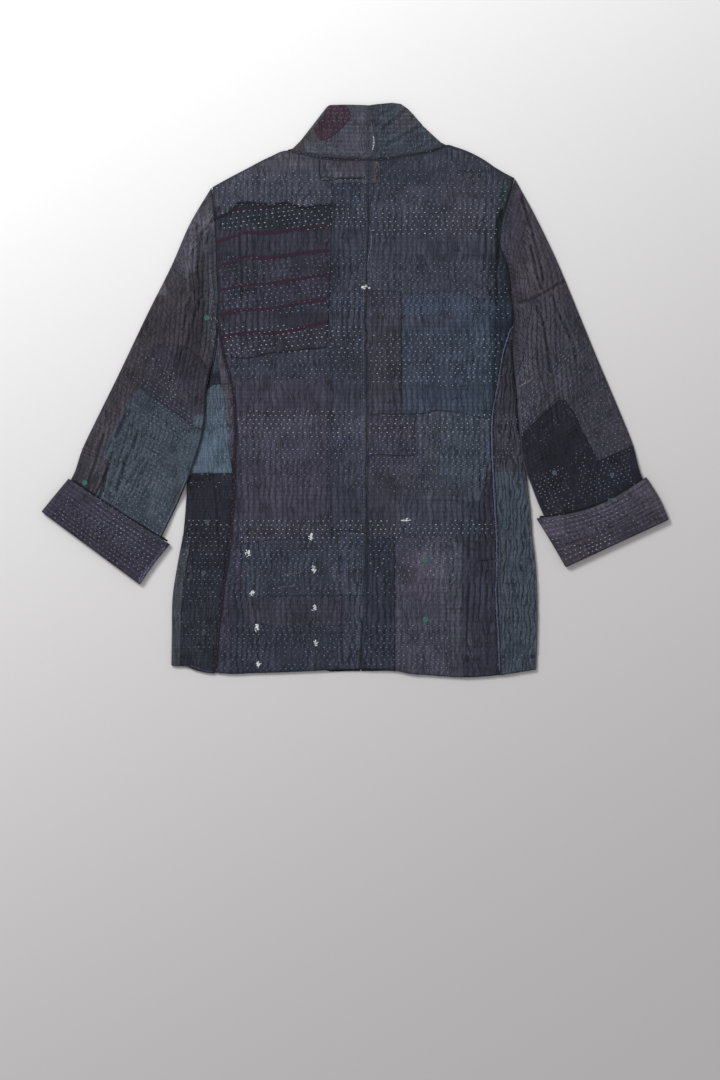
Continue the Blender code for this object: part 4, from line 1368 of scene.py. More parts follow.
# %% Patches on the sleeves
SLEEVE_PATCHES = (
    # piece, finish, hand, low side, top side, left side, right side
    ("patch_sea_sleeve", "sea", "left", ((0.28, 7.5), (1.0, 7.5)), ((0.23, 4.11), (0.27, 4.01),
     (0.45, 4.03), (0.74, 4.05), (0.87, 4.09), (1.0, 4.01)), ((0.28, 7.5), (0.28, 5.96),
     (0.16, 5.84), (0.17, 5.29), (0.18, 4.76), (0.23, 4.11)), ((1.0, 7.5), (1.0, 4.01))),
    ("patch_shade_sleeve", "plum", "left", ((0.27, 4.03), (0.45, 4.05), (0.74, 4.07),
     (0.87, 4.11), (0.99, 4.03)), ((0.22, 3.3), (0.42, 3.0), (0.65, 2.71), (0.82, 2.5),
     (0.99, 2.4)), ((0.27, 4.03), (0.2, 3.41), (0.22, 3.3)), ((0.99, 4.03), (0.99, 2.4))),
    ("patch_wrist_scrap", "night", "left", ((0.01, 7.5), (0.25, 7.5)),
     ((0.01, 6.05), (0.17, 5.96), (0.3, 6.03)), ((0.01, 7.5), (0.01, 6.05)),
     ((0.25, 7.5), (0.28, 6.39), (0.3, 6.03))),
    ("patch_night_sleeve", "night", "right", ((0.54, 7.5), (0.99, 7.5)), ((0.45, 4.26),
     (0.51, 4.16), (0.69, 4.17), (0.83, 4.21), (0.99, 4.23)), ((0.54, 7.5), (0.35, 6.02),
     (0.37, 5.34), (0.4, 4.73), (0.45, 4.26)), ((0.99, 7.5), (0.99, 4.23))),
    ("patch_night_wrist", "night", "right", ((0.01, 7.5), (0.52, 7.5)),
     ((0.01, 6.07), (0.21, 6.03), (0.35, 6.02)), ((0.01, 7.5), (0.01, 6.07)),
     ((0.52, 7.5), (0.35, 6.02))),
)


def sleeve_patch(node, finish, hand, sides, seed):
    """A patch on a sleeve, between four lines on the flat sleeve."""
    rows = SLEEVES[hand]
    shares, sections = np.array([*sides[0], *sides[1]]).T
    wide = np.ptp(shares) * float(wide_at(rows, sections.mean()))
    first, last = (run_along(rows, 0.5, end) for end in (sections.min(), sections.max()))
    share, along, inside = patch_grid(sides, wide, float(last - first))
    sway = ease(share, 0.02, 0.12) * ease(share, 0.98, 0.88)
    at = (share * wide, along * 60)
    share = share + 0.008 * sway * noise(*at, 10, 10, seed)
    along = along + 0.025 * noise(*at, 10, 10, seed + 1)
    lift = LIFT + 0.06 * (seed % 3) + hemmed(inside)
    points, height, u, v = sleeve_surface(hand, share, along, lift=lift)
    # The dark value is painted shade just inside the patch's edge.
    cloth_piece(
        node, finish, points, height, u + 90 * seed, v, PATCH_THICK, dark=painted_edge_shade(inside)
    )


for seed, (node, finish, hand, *sides) in enumerate(SLEEVE_PATCHES, 61):
    sleeve_patch(node, finish, hand, sides, seed)

# %% [markdown]
# The collar has a wine-red patch at its left, below the top edge, and a wedge of blue-grey cloth
# beside its seam.

# %% Patches on the collar
COLLAR_PATCHES = (
    # piece, finish, low side, top side, left side, right side
    ("patch_wine", "wine", ((-58.5, 365.5), (-50, 349.5), (-41, 350), (-29, 357), (-15, 370)),
     ((-36, 397.5), (-28, 398.5), (-14, 398.8), (-9, 394)),
     ((-58.5, 365.5), (-47, 382), (-36, 397.5)), ((-15, 370), (-6, 381), (-7, 388), (-9, 394))),
    ("patch_collar_slate", "sea", ((-70, 334), (-48, 330), (-27, 328.5), (4, 327.5)),
     ((-72, 351), (-50, 345), (-24, 338), (4, 333)), ((-70, 334), (-72, 351)),
     ((4, 327.5), (4, 333))),
)


def collar_patch(node, finish, sides, seed):
    """A patch on the back of the collar's left half."""
    plan = between_four(*sides, even(34), even(34))
    x, y = plan[..., 0], plan[..., 1]
    fold_x, fold_y = np.array(COLLARS["left"]["fold"], float).T
    to_fold = x - np.interp(y, fold_y, fold_x)
    flat = np.sqrt(1 - (1 - np.clip(to_fold * 0.8 / COLLAR_REACH, 0, 1)) ** 2)
    z = collar_height(x, y, flat) + LIFT * flat + 0.1
    height = quilting(x, y, 0.24 + 0 * x, 0.4, 51) * flat**2
    cloth_piece(node, finish, np.dstack([x, y, z]), height, x + 90 * seed, y, PATCH_THICK)


for seed, (node, finish, *sides) in enumerate(COLLAR_PATCHES, 71):
    collar_patch(node, finish, sides, seed)

# %% [markdown]
# ## Thread
#
# All the thread is laid on the finished cloth from above, so it follows every puff and patch. A
# stitch is a short arched ridge with pointed ends that go into the cloth. The stitches of one
# colour on one part of the jacket are joined in one mesh.

# %% Laying thread on the cloth
from mathutils import Vector
from mathutils.bvhtree import BVHTree

names = list(cloth_pieces)
sizes = [(len(points), len(faces)) for points, faces in cloth_pieces.values()]
starts = np.cumsum([0] + [count for count, _ in sizes])
all_points = np.concatenate([points for points, _ in cloth_pieces.values()])
all_faces = np.concatenate([cloth_pieces[name][1] + first for name, first in zip(names, starts)])
owners = np.repeat(np.arange(len(names)), [count for _, count in sizes])
surface = BVHTree.FromPolygons(all_points.tolist(), all_faces.tolist())
GROUND = -5.0  # the height where there is no cloth
ABOVE = 60.0
DOWN = Vector((0, 0, -1))


def drop(x, y):
    """The height of the top of the cloth at these places, and the index of its piece or -1."""
    height, owner = np.full(len(x), GROUND), np.full(len(x), -1)
    for i, place in enumerate(zip(x.tolist(), y.tolist())):
        found = surface.ray_cast(Vector((*place, ABOVE)), DOWN)
        if found[2] is not None:
            height[i], owner[i] = found[0].z, owners[found[2]]
    return height, owner


print("cloth faces to lay thread on:", len(all_faces))
print("height at the middle:", drop(np.zeros(1), np.zeros(1))[0].round(2))

# %% A mesh of stitches
STITCH_LONG = 2.7
STITCH_WIDE = 1.2
# A stitch's eight points: share of its length, of its width, and its height.
STITCH = np.array([
    (-0.5, 0, -0.5), (-0.28, -0.5, -0.15), (-0.28, 0, 0.42), (-0.28, 0.5, -0.15),
    (0.28, -0.5, -0.15), (0.28, 0, 0.42), (0.28, 0.5, -0.15), (0.5, 0, -0.5),
])
STITCH_FACES = ((0, 1, 2), (0, 2, 3), (1, 4, 5, 2), (2, 5, 6, 3), (7, 5, 4), (7, 6, 5))


def thread_piece(name, finish, points, faces, shade):
    """A piece of thread, with a brightness for each of its points."""
    return new_piece(
        name, points, faces, f"thread_{finish}",
        cloth=points, relief=shade, dye=np.zeros((len(points), 4)),
    )


def stitches(name, finish, x, y, angle, long, wide, shade, allowed=None, rise=1.0):
    """A joined mesh of stitches at these places, laid on the cloth."""
    middle, owner = drop(x, y)
    keep = owner >= 0
    if allowed is not None:
        keep &= np.isin(owner, [names.index(node) for node in allowed])
    x, y, dx, dy, middle, long, wide, shade = (
        np.broadcast_to(part, keep.shape)[keep]
        for part in (x, y, np.cos(angle), np.sin(angle), middle, long, wide, shade)
    )
    tilt = []
    for side in (-1, 1):
        end = drop(x + side * 0.36 * long * dx, y + side * 0.36 * long * dy)[0]
        tilt.append(np.clip(end, middle - 0.5, middle + 0.5)[:, None])
    count = len(x)
    x, y, dx, dy, middle, long, wide = np.stack([x, y, dx, dy, middle, long, wide])[..., None]
    share, aside, up = STITCH.T
    px = x + dx * share * long - dy * aside * wide
    py = y + dy * share * long + dx * aside * wide
    pz = 0.35 * middle + 0.65 * np.where(share < 0, *tilt) + up * rise * (0.6 + 0.4 * wide)
    firsts = len(STITCH) * np.arange(count)
    faces = [[first + corner for corner in face] for first in firsts for face in STITCH_FACES]
    points = np.dstack([px, py, pz]).reshape(-1, 3)
    thread_piece(name, finish, points, faces, np.repeat(shade, len(STITCH)))
    print(name, count, "stitches")


chance = np.random.default_rng(5)
print("a stitch has", len(STITCH_FACES), "faces")

# %% [markdown]
# The rows of running stitch lie about 6 mm apart, each row half a stitch further than the last.
# The thread changes from band to band: white, blue and grey, and between them small dark marks
# shaped as stitches are painted shade, for the dimples where the thread dips into the cloth.
# BANDS gives the bands down each part, with how many of the stitches still show and how bright
# they are.

# %% Bands of thread on the body
PARTS = {
    # part: its two edges, and where its rows begin and end across
    "back_left": ("seam_left", "centre", -200, 20),
    "back_right": ("centre", "seam_right", 15, 230),
    "side_left": ("edge_left", "seam_left", -250, -160),
    "side_right": ("seam_right", "edge_right", 190, 260),
}
BANDS = {
    # part: rows of thread, low, high, share that shows, brightness, and ends of their own
    "back_left": (
        ("blue", 262, 306, 0.9, 1.0), ("white", 226, 262, 0.92, 1.0),
        ("dark", 188, 226, 0.8, 1.0), ("grey", 148, 188, 0.9, 0.8),
        ("blue", 108, 148, 0.92, 1.05), ("dark", 90, 108, 0.8, 1.0), ("white", 52, 90, 0.9, 1.0),
        ("grey", 12, 52, 0.9, 1.0), ("dark", -29, 12, 0.8, 1.0), ("white", -64, -29, 0.9, 0.95),
        ("blue", -101, -64, 0.9, 1.0), ("grey", -138, -101, 0.75, 0.8),
        ("dark", -178, -138, 0.8, 1.0), ("white", -212, -178, 0.92, 1.0),
        ("blue", -249, -212, 0.92, 1.0), ("grey", -294, -249, 0.8, 0.85),
        ("dark", -326, -294, 0.8, 1.0), ("grey", -360, -326, 0.85, 0.85),
        ("blue", -392, -360, 0.85, 0.8),
    ),
    "back_right": (
        ("grey", 290, 326, 0.7, 0.8), ("blue", 258, 290, 0.9, 1.0),
        ("white", 213, 258, 0.93, 0.95), ("dark", 180, 213, 0.8, 1.0),
        ("grey", 139, 180, 0.85, 0.9), ("blue", 101, 139, 0.9, 0.95), ("dark", 79, 101, 0.8, 1.0),
        ("white", 6, 79, 0.85, 0.85), ("dark", -34, 6, 0.8, 1.0), ("white", -67, -34, 0.9, 0.95),
        ("blue", -120, -67, 0.9, 0.95), ("grey", -144, -120, 0.7, 0.8),
        ("dark", -182, -144, 0.8, 1.0), ("white", -205, -182, 0.9, 1.0),
        ("blue", -232, -205, 0.9, 1.0, 15, 138), ("white", -262, -232, 0.7, 0.85, 15, 138),
        ("grey", -296, -262, 0.65, 0.75, 15, 138), ("dark", -326, -296, 0.8, 1.0),
        ("grey", -361, -326, 0.9, 0.95, 15, 134), ("blue", -393, -361, 0.9, 0.9, 15, 134),
        ("dark", -393, -205, 0.8, 1.0, 134, 230),
    ),
    "side_left": (
        ("dark", -20, 74, 0.7, 1.0), ("grey", -100, -20, 0.7, 0.9),
        ("white", -136, -116, 0.4, 0.6), ("dark", -180, -136, 0.7, 1.0),
        ("white", -236, -180, 0.8, 0.65), ("blue", -294, -236, 0.85, 0.7),
        ("dark", -322, -294, 0.8, 1.0), ("grey", -366, -322, 0.8, 0.75),
        ("dark", -386, -366, 0.8, 1.0),
    ),
    "side_right": (
        ("dark", -30, 70, 0.7, 1.0), ("grey", -110, -30, 0.7, 0.8),
        ("dark", -180, -110, 0.7, 1.0), ("grey", -330, -180, 0.15, 0.6),
        ("dark", -388, -180, 0.7, 1.0), ("blue", -388, -330, 0.25, 0.7),
    ),
}
print("bands on the body:", sum(len(rows) for rows in BANDS.values()))

# %% Rows of stitches
THREADS_USED = ("white", "blue", "grey", "dark")
DARK_RISE = 0.35  # the dark stitches lie deep
EDGE_FREE = (4.2, 3.5)  # how far the stitches stay from a part's sides, and from its ends
ON_BODY = [name for name in names if "sleeve" not in name and "wrist" not in name]
STRIPE_LEAN = 0.14  # the rows of the striped patch slope as its stripes do
DRIFT = 0.32  # how far a row drifts against the next, as a share of the pitch


def leaning(x, y):
    """How much the rows slope here."""
    return STRIPE_LEAN * (ease(x, -30, -44) * ease(y, 48, 62) * ease(y, 262, 248))


def rows_of(low, high, left, right, finer=1.0):
    """Stitch places in rows, each row half a stitch further than the last."""
    pitch, apart = finer * STITCH_PITCH, finer * ROW_PITCH
    first, last = math.ceil((low - 14) / apart), math.floor((high + 14) / apart)
    row, step = np.meshgrid(
        np.arange(first, last + 1), np.arange(math.ceil(left / pitch), right / pitch)
    )
    row, step = row.ravel(), step.ravel()
    x, y = (step + 0.5 * (row % 2)) * pitch, row * apart
    # Sewn by hand, each row has a pace of its own, so it drifts against the rows beside it.
    x = x + DRIFT * pitch * noise(x, 40.0 * row, 46, 9, 17)
    x = x - STITCH_PITCH * WANDER * noise(x, y, 30, 44, 11) + chance.normal(0, 0.3, x.shape)
    y = y + 0.9 * noise(x, 0 * y, 60, 9, 91) + chance.normal(0, 0.12, x.shape)
    return x, y


def shades(count, brightness):
    """Each stitch's own brightness."""
    return brightness * np.clip(chance.normal(0.85, 0.22, count), 0.35, 1.35)


def band_places(part, low, high, shows, *ends):
    """The stitches of one band on one part of the body."""
    *edges, left, right = (*PARTS[part][:2], *(ends or PARTS[part][2:]))
    x, y = rows_of(low, high, left, right)
    lean = leaning(x, y)
    y = y + lean * (x + 115)
    inner, outer = (edge(column)(y) for column in edges)
    stray = 3 * noise(x, y, 24, 24, 93)
    keep = (x > inner + EDGE_FREE[0]) & (x < outer - EDGE_FREE[0])
    keep &= (y + stray > low) & (y + stray < high)
    keep &= (y < shoulder_line(x) - EDGE_FREE[1]) & (y > hem_line(x) + EDGE_FREE[1])
    worn = 0.5 + 0.5 * noise(x, y, 20, 14, 95)
    keep &= chance.uniform(0, 1, x.shape) < shows * (1.06 - 0.35 * worn**3)
    return x[keep], y[keep], np.arctan(lean[keep])


print("lean of a row at the middle:", round(float(leaning(0.0, 0.0)), 4))

# %% Stitches on the body
for part, thread in ((part, thread) for part in PARTS for thread in THREADS_USED):
    bands = [band for band in BANDS[part] if band[0] == thread]
    if not bands:
        continue
    found = [band_places(part, *band[1:4], *band[5:]) for band in bands]
    if thread == "dark":
        # Where the thread of the other bands goes under, it leaves a dimple, drawn as a dark mark
        # of painted shade.
        lit = [band for band in BANDS[part] if band[0] != "dark"]
        for _, low, high, _, _, *ends in lit:
            x, y, lean = band_places(part, low, high, 0.85, *ends)
            found.append((x + STITCH_PITCH / 2, y, lean))
        bands = bands + lit
    bright = [shades(len(places[0]), band[4]) for places, band in zip(found, bands)]
    x, y, angle = (np.concatenate(group) for group in zip(*found))
    stitches(
        f"stitches_{thread}_{part}", thread, x, y, angle + chance.normal(0, 0.12, x.shape),
        chance.normal(STITCH_LONG, 0.45, x.shape) * (0.62 if thread == "dark" else 1),
        STITCH_WIDE * chance.uniform(0.8, 1.15, x.shape), np.concatenate(bright), ON_BODY,
        DARK_RISE if thread == "dark" else 1.0,
    )

# %% [markdown]
# On the sleeves and the cuffs the rows run round the arm. A stitch's place is given on the flat
# cloth, in millimetres across and down, so its share and its section have to be found from that.

# %% Bands of thread on the sleeves and cuffs
SLEEVE_BANDS = {
    # arm: rows of thread, first and last share, first and last section, share that shows, shine
    "left": (
        ("white", 0.14, 0.62, 3.3, 3.8, 0.65, 0.6), ("blue", 0.42, 0.97, 3.75, 4.3, 0.9, 0.85),
        ("blue", 0.05, 0.42, 3.5, 4.4, 0.4, 0.55), ("grey", 0.24, 1.0, 4.2, 6.2, 0.8, 0.8),
        ("blue", 0.3, 1.0, 6.2, 7.3, 0.85, 0.85), ("grey", 0.75, 0.97, 0.6, 1.6, 0.5, 0.8),
        ("dark", 0.03, 1.0, 0.1, 7.2, 0.8, 1.0),
    ),
    "right": (
        ("grey", 0.72, 0.97, 2.6, 3.4, 0.75, 0.95), ("blue", 0.72, 0.97, 3.3, 4.2, 0.85, 0.9),
        ("blue", 0.14, 0.5, 3.25, 3.8, 0.85, 0.85), ("blue", 0.03, 0.5, 3.8, 4.6, 0.4, 0.6),
        ("grey", 0.02, 0.4, 4.4, 6.1, 0.75, 0.8), ("blue", 0.05, 0.6, 6.0, 7.1, 0.85, 0.85),
        ("blue", 0.6, 0.97, 4.3, 4.8, 0.4, 0.55), ("white", 0.66, 0.97, 5.6, 7.1, 0.75, 0.65),
        ("white", 0.42, 0.58, 5.6, 6.1, 0.5, 0.55), ("dark", 0.03, 0.97, 0.1, 7.2, 0.8, 1.0),
    ),
}
CUFF_BANDS = {
    "left": (
        ("blue", 0.3, 0.97, 0.04, 0.5, 0.95, 1.15), ("blue", 0.05, 0.3, 0.3, 0.6, 0.6, 0.7),
        ("grey", 0.05, 0.97, 0.5, 0.97, 0.95, 1.05), ("dark", 0.03, 0.97, 0.06, 0.95, 0.7, 1.0),
    ),
    "right": (
        ("blue", 0.25, 0.97, 0.04, 0.52, 0.9, 1.1), ("white", 0.5, 0.93, 0.6, 0.97, 0.95, 1.1),
        ("grey", 0.2, 0.6, 0.4, 0.9, 0.6, 0.85), ("dark", 0.03, 0.97, 0.06, 0.95, 0.8, 1.0),
    ),
}
print("bands on the left arm:", len(SLEEVE_BANDS["left"]) + len(CUFF_BANDS["left"]))

# %% Stitches on the sleeves and cuffs
ARM_FINER = 0.85  # the rows on the arms lie closer together


def arm_rows(kind, hand):
    """Stitches all over a sleeve or a cuff: their shares and sections."""
    if kind == "sleeve":
        rows, first, last = SLEEVES[hand], 0.06, 7.4
        u, v = rows_of(0, 440, -95, 95, ARM_FINER)
        places = np.linspace(0, 7.2, 200)
        along = np.interp(v, run_along(rows, 0.5, places), places)
    else:
        rows, first, last = CUFFS[hand], 0.05, 0.95
        u, v = rows_of(4, 54, -88, 88, ARM_FINER)
        along = v / CUFF_LONG
    share = 0.5 + u / wide_at(rows, along)
    clear = (share > 0.02) & (share < 0.98) & (along > first) & (along < last)
    return share[clear], along[clear]


for kind, bands, lay, wobbly in (
    ("sleeve", SLEEVE_BANDS, sleeve_surface, 5), ("cuff", CUFF_BANDS, cuff_surface, 1)
):
    on = [name for name in names if kind in name or (kind == "sleeve" and "wrist" in name)]
    for hand in ("left", "right"):
        share, along = arm_rows(kind, hand)
        at, beside = (lay(hand, share[None] + step, along[None])[0][0] for step in (0, 0.01))
        angle = np.arctan2(beside[:, 1] - at[:, 1], beside[:, 0] - at[:, 0])
        stray = 0.05 * noise(at[:, 0], at[:, 1], 16, 16, 97)
        free = np.ones(len(share), bool)
        for thread in THREADS_USED:
            picked, bright = np.zeros(len(share), bool), np.ones(len(share))
            for left, right, low, high, shows, shine in (
                band[1:] for band in bands[hand] if band[0] == thread
            ):
                inside = (share + stray > left) & (share + stray < right) & free
                inside &= (along + wobbly * stray > low) & (along + wobbly * stray < high)
                inside &= chance.uniform(0, 1, share.shape) < shows
                picked |= inside
                bright[inside] = shine
            if not picked.any():
                continue
            free &= ~picked
            count = int(picked.sum())
            longer, wider, rise = (0.75, 1.5, DARK_RISE) if thread == "dark" else (0.95, 0.9, 1.0)
            stitches(
                f"stitches_{thread}_{kind}_{hand}", thread, at[picked, 0], at[picked, 1],
                angle[picked] + chance.normal(0, 0.14, count),
                chance.normal(STITCH_LONG * longer, 0.35, count),
                STITCH_WIDE * wider * chance.uniform(0.8, 1.15, count),
                shades(count, 1) * bright[picked], on, rise,
            )

# %% [markdown]
# The collar's rows follow its lower edge. Its right half has blue thread, the middle dark marks
# of painted shade for the dimples of its stitches, and the wine-red patch a pale thread.

# %% Stitches on the collar
on = [name for name in names if "collar" in name or "wine" in name]
share, up = np.arange(0.05, 0.96, 0.088), np.arange(0.07, 0.97, 0.078)
for hand, lean in (("left", 1.0), ("right", -2.6)):
    plan = collar_surface(hand, share, up)[0]
    every_other = np.arange(len(up))[:, None] % 2
    x = plan[..., 0] + 4 * every_other + chance.normal(0, 0.5, plan.shape[:2])
    y = plan[..., 1] + lean * np.sin(6 * share) + chance.normal(0, 0.4, plan.shape[:2])
    x, y = x.ravel(), y.ravel()
    wine = (x < -8) & (y > 352)
    for thread, tilt, picked in (
        ("blue", 0.35, (x > 34) & ~wine),
        ("grey", 0.05, wine | (x < -44)),
        ("dark", 0.05, (x <= 34) & (x >= -44) & ~wine),
    ):
        count = int(picked.sum())
        if count:
            stitches(
                f"stitches_{thread}_collar_{hand}", thread, x[picked], y[picked],
                chance.normal(tilt, 0.2, count), chance.normal(2.5, 0.35, count),
                0.85 * STITCH_WIDE, shades(count, 0.62), on,
            )

# %% [markdown]
# ## Stripes, seams and mended places
#
# The striped patch keeps narrow strips of dark red from the cloth that it was cut from. The seam
# down the back has lines of running stitch close beside it, the side seams have raw edges that
# have frayed into short threads, and single stitches and thread ends stick out here and there.
# These lie along lines on the table, so one function lays a narrow strip, another a row of
# stitches, and a third the frayed threads.

# %% Strips and threads along lines
STRIP = np.array([(-0.5, -0.2), (-0.3, 0.7), (0.0, 1.0), (0.3, 0.7), (0.5, -0.2)])
STRIP_STEP = 1.5


def along_line(points, spacing, stray=0.0, seed=1):
    """Places along a smooth line through these points, and its direction there."""
    columns = np.array(points, float).T
    run = run_of(columns)
    at = np.arange(spacing / 2, run[-1], spacing)
    x, y = (smooth(at, run, column) for column in columns)
    dx, dy = np.gradient(x), np.gradient(y)
    size = np.hypot(dx, dy)
    aside = stray * noise(at, 0 * at, 9, 9, seed)
    return x - dy / size * aside, y + dx / size * aside, np.arctan2(dy, dx)


def strips(name, thread, lines, width, lift, shade=1.0, stray=0.4):
    """Narrow strips of cloth or cord laid along lines, in one mesh."""
    offsets, arch = STRIP.T
    points, faces, uneven, first = [], [], [], 0
    for seed, one in enumerate(lines, 1):
        x, y, angle = along_line(one, STRIP_STEP, stray, seed)
        at = np.arange(len(x)) * STRIP_STEP
        wide = width * (1 + 0.25 * noise(at, 0 * x, 7, 7, seed + 50))
        px = x[:, None] - np.sin(angle)[:, None] * offsets * wide[:, None]
        py = y[:, None] + np.cos(angle)[:, None] * offsets * wide[:, None]
        pz = drop(px.ravel(), py.ravel())[0].reshape(px.shape)
        pz = np.maximum(np.maximum(pz, pz[:, 2:3] - 1.0), 0.2) + lift * arch
        points.append(np.dstack([px, py, pz]).reshape(-1, 3))
        faces.append(grid_faces(*px.shape, False)[:, ::-1] + first)
        first += len(points[-1])
        fleck = 0.25 * noise(at, 0 * x, 3, 3, seed + 60)
        uneven.append(np.repeat(shade * (1 + fleck), len(STRIP)))
    points, faces, uneven = (np.concatenate(part) for part in (points, faces, uneven))
    thread_piece(name, thread, points, faces, uneven)


def dashes(name, thread, lines, pitch, long, bright=0.9, wide=STITCH_WIDE, rise=1.0):
    """Rows of running stitch along lines."""
    found = [along_line(one, pitch, 0.3, seed) for seed, one in enumerate(lines, 5)]
    x, y, angle = (np.concatenate(part) for part in zip(*found))
    count = len(x)
    stitches(
        name, thread, x, y, angle + chance.normal(0, 0.1, count),
        chance.normal(long, 0.12 * long, count), wide * chance.uniform(0.8, 1.2, count),
        shades(count, bright), None, rise,
    )


def fray(name, thread, one, every, long, spread, bright=0.9, wide=0.7, turn=1.0):
    """Short loose threads that lie at all angles along a line, as on a raw edge."""
    x, y, angle = along_line(one, every)
    count = len(x)
    aside = chance.normal(0, spread, count)
    stitches(
        name, thread, x - np.sin(angle) * aside, y + np.cos(angle) * aside,
        angle + turn * chance.normal(0, 0.7, count), long * chance.uniform(0.5, 1.5, count),
        wide * chance.uniform(0.7, 1.3, count), shades(count, bright), None, 1.2,
    )


def body_line(column, low, high, shift=0.0):
    """Points up one of the body's edges, for a strip or a row of thread."""
    levels = np.arange(low, high, 12.0)
    return np.column_stack([edge(column, shift)(levels), levels])


def across_line(rows, left, right, count):
    """Points along one of the lines across the body."""
    at = np.linspace(left, right, count)
    return np.column_stack([at, line(rows)(at)])


print("a line of 100 mm has", len(along_line(((0, 0), (100, 0)), 8.0)[0]), "stitches of 8 mm")

# %% Stripes, seams, frayed edges
STRIPES = (
    ((-195, 207), (-176, 213), (-155, 220), (-120, 220), (-97, 223), (-73, 227), (-32, 229)),
    ((-195, 171), (-172, 179), (-153, 185), (-120, 185), (-97, 188), (-73, 192), (-34, 195)),
    ((-190, 139), (-161, 146), (-120, 148), (-88, 153), (-56, 160), (-34, 161)),
    ((-189, 105), (-161, 112), (-129, 113), (-105, 115), (-80, 122), (-56, 125), (-39, 127)),
    ((-188, 73), (-169, 77), (-144, 80), (-97, 81), (-73, 88), (-39, 95)),
)
TOP_STRIPE = ((-194, 238), (-182, 246), (-166, 251), (-151, 254.5), (-135, 256), (-120, 254))
TOP_END = ((-120, 254), (-106, 257), (-98, 259), (-88, 256), (-73, 254), (-58, 253.5))
TORN = (
    (-196, 241), (-176, 248), (-164, 260), (-147, 262), (-127, 260), (-115, 258), (-99, 263),
    (-88, 259), (-64, 256), (-50, 259), (-34, 259),
)
NECK_PATCH = ((-48.8, 323), (-49, 300), (-48, 296.4), (-20, 296), (14, 295.6))
NECK = across_line(SHOULDERS, -90, 122, 40)
HEMLINE = across_line(HEM, -250, 250, 120)
strips("stripes_red", "band_red", STRIPES, 6.4, 0.15, 1.0, 0.7)
strips("stripe_top", "band_red", [TOP_STRIPE], 4.8, 0.15, 0.9, 0.7)
strips("stripe_top_end", "band_red", [TOP_END], 2.2, 0.15, 0.8, 0.7)
shadows = [body_line("seam_right", -394, 95, shift) for shift in (-2.6, 1.6)]
shadows.append(body_line("seam_left", -390, 96, 2.2))
strips("seam_shadows", "dark", shadows, 1.5, 0.1, 0.7)
strips("raw_edge_right", "seam_blue", [body_line("seam_right", -394, 95, -0.6)], 1.5, 0.4, 0.8)
raw_left = body_line("seam_left", -390, 96, 0.4)
strips("raw_edge_left", "maroon", [raw_left], 1.5, 0.35, 0.36, 0.9)
fray("frayed_right", "lilac", body_line("seam_right", -392, 95, -0.6), 3.0, 3.2, 0.9, 0.75)
fray("frayed_right_blue", "blue", body_line("seam_right", -390, 95, -0.4), 3.2, 3.6, 0.8, 0.8)
fray("frayed_left", "maroon", body_line("seam_left", -388, 100, 0.5), 2.4, 3.4, 1.0, 0.8)
fray("frayed_left_pale", "lilac", body_line("seam_left", -388, 100, -0.6), 5.0, 3.0, 1.4, 0.6)
beside = [body_line("centre", -384, 318, shift) for shift in (-4.0, -7.2)]
dashes("rows_beside_middle", "grey", beside, 4.6, 3.2, 0.62, 0.8)
dashes("rows_right_of_middle", "dark", [body_line("centre", -386, 318, 2.6)], 6.5, 2.8, 1.6, 0.8)
fray("middle_red", "maroon", body_line("centre", -388, 322, 0.4), 4.6, 4.0, 0.8, 0.6, turn=0.5)
fray("middle_pale", "grey", body_line("centre", 120, 250, 2.0), 9.0, 4.4, 1.4, 0.9)
strips("torn_edge", "dark", [TORN], 3.4, 0.3, 0.7, 1.6)
fray("torn_threads", "dark", TORN, 1.0, 6.5, 1.7, 0.9, 0.9, 0.5)
strips("neck_shadow", "dark", [NECK - (0, 1.4)], 1.1, 0.1, 0.7)
fray("neck_threads", "lilac", NECK + (0, 0.6), 5.0, 3.4, 0.8, 0.75)
fray("neck_threads_red", "maroon", NECK + (0, 0.2), 7.0, 3.4, 0.7, 0.95)
strips("neck_patch_shadow", "dark", [NECK_PATCH], 1.8, 0.1, 0.7, 0.3)
fray("hem_threads", "dark", HEMLINE + (0, 0.5), 2.2, 3.2, 0.6, 0.9, 0.7)
fray("hem_frayed", "lilac", HEMLINE[2:16] + (0, -0.4), 1.6, 2.8, 0.4, 0.75, 0.5, 0.7)
strips("rim_right", "olive", [body_line("edge_right", -392, -116, -0.7)], 1.6, 0.1, 1.0, 0.3)

# %% [markdown]
# A sleeve lies loosely, so a deep gap follows its fold on the side panel, and another one follows
# the turned-back edge of its cuff; each is drawn as a dark strip of painted shadow. Its parts were
# joined by hand, which leaves dark lines of overcast stitches across the arm and a few loose ends
# at its outer fold.

# %% Painted gap shadows and seams of the sleeves
def arm_line(lay, hand, places, **where):
    """Points on the table for shares and sections of a sleeve or a cuff."""
    share, along = np.array(places, float).T
    return lay(hand, share[None], along[None], **where)[0][0][:, :2]


FOLD_SHADOW_PLACES = {"right": (0.9, 1.6, 2.4, 3.4, 4.2), "left": (0.9, 1.6, 2.4, 3.0)}
CUFF_EDGE = [(share, 0.0) for share in np.linspace(0.03, 0.97, 24)]
SLEEVE_SEAMS = (
    ("left", ((0.02, 2.02), (0.12, 1.9), (0.26, 1.75), (0.42, 1.62), (0.56, 1.62))),
    ("right", ((0.0, 2.36), (0.2, 2.13), (0.43, 1.86), (0.6, 1.9), (0.8, 2.3), (0.97, 2.6))),
    ("right", ((0.02, 4.42), (0.2, 4.36), (0.36, 4.4))),
    ("right", ((0.99, 4.23), (0.83, 4.2), (0.69, 4.15), (0.5, 4.14), (0.42, 4.5), (0.37, 5.3))),
    ("left", ((0.99, 4.01), (0.87, 4.09), (0.74, 4.04), (0.45, 4.02), (0.27, 4.0))),
    ("left", ((0.02, 5.98), (0.17, 5.94), (0.29, 6.0), (0.3, 6.3), (0.26, 6.9))),
)
TIPS = [((-386, -81), (-374, -85)), ((384, -78), (396, -81)), ((222, 288), (234, 286))]

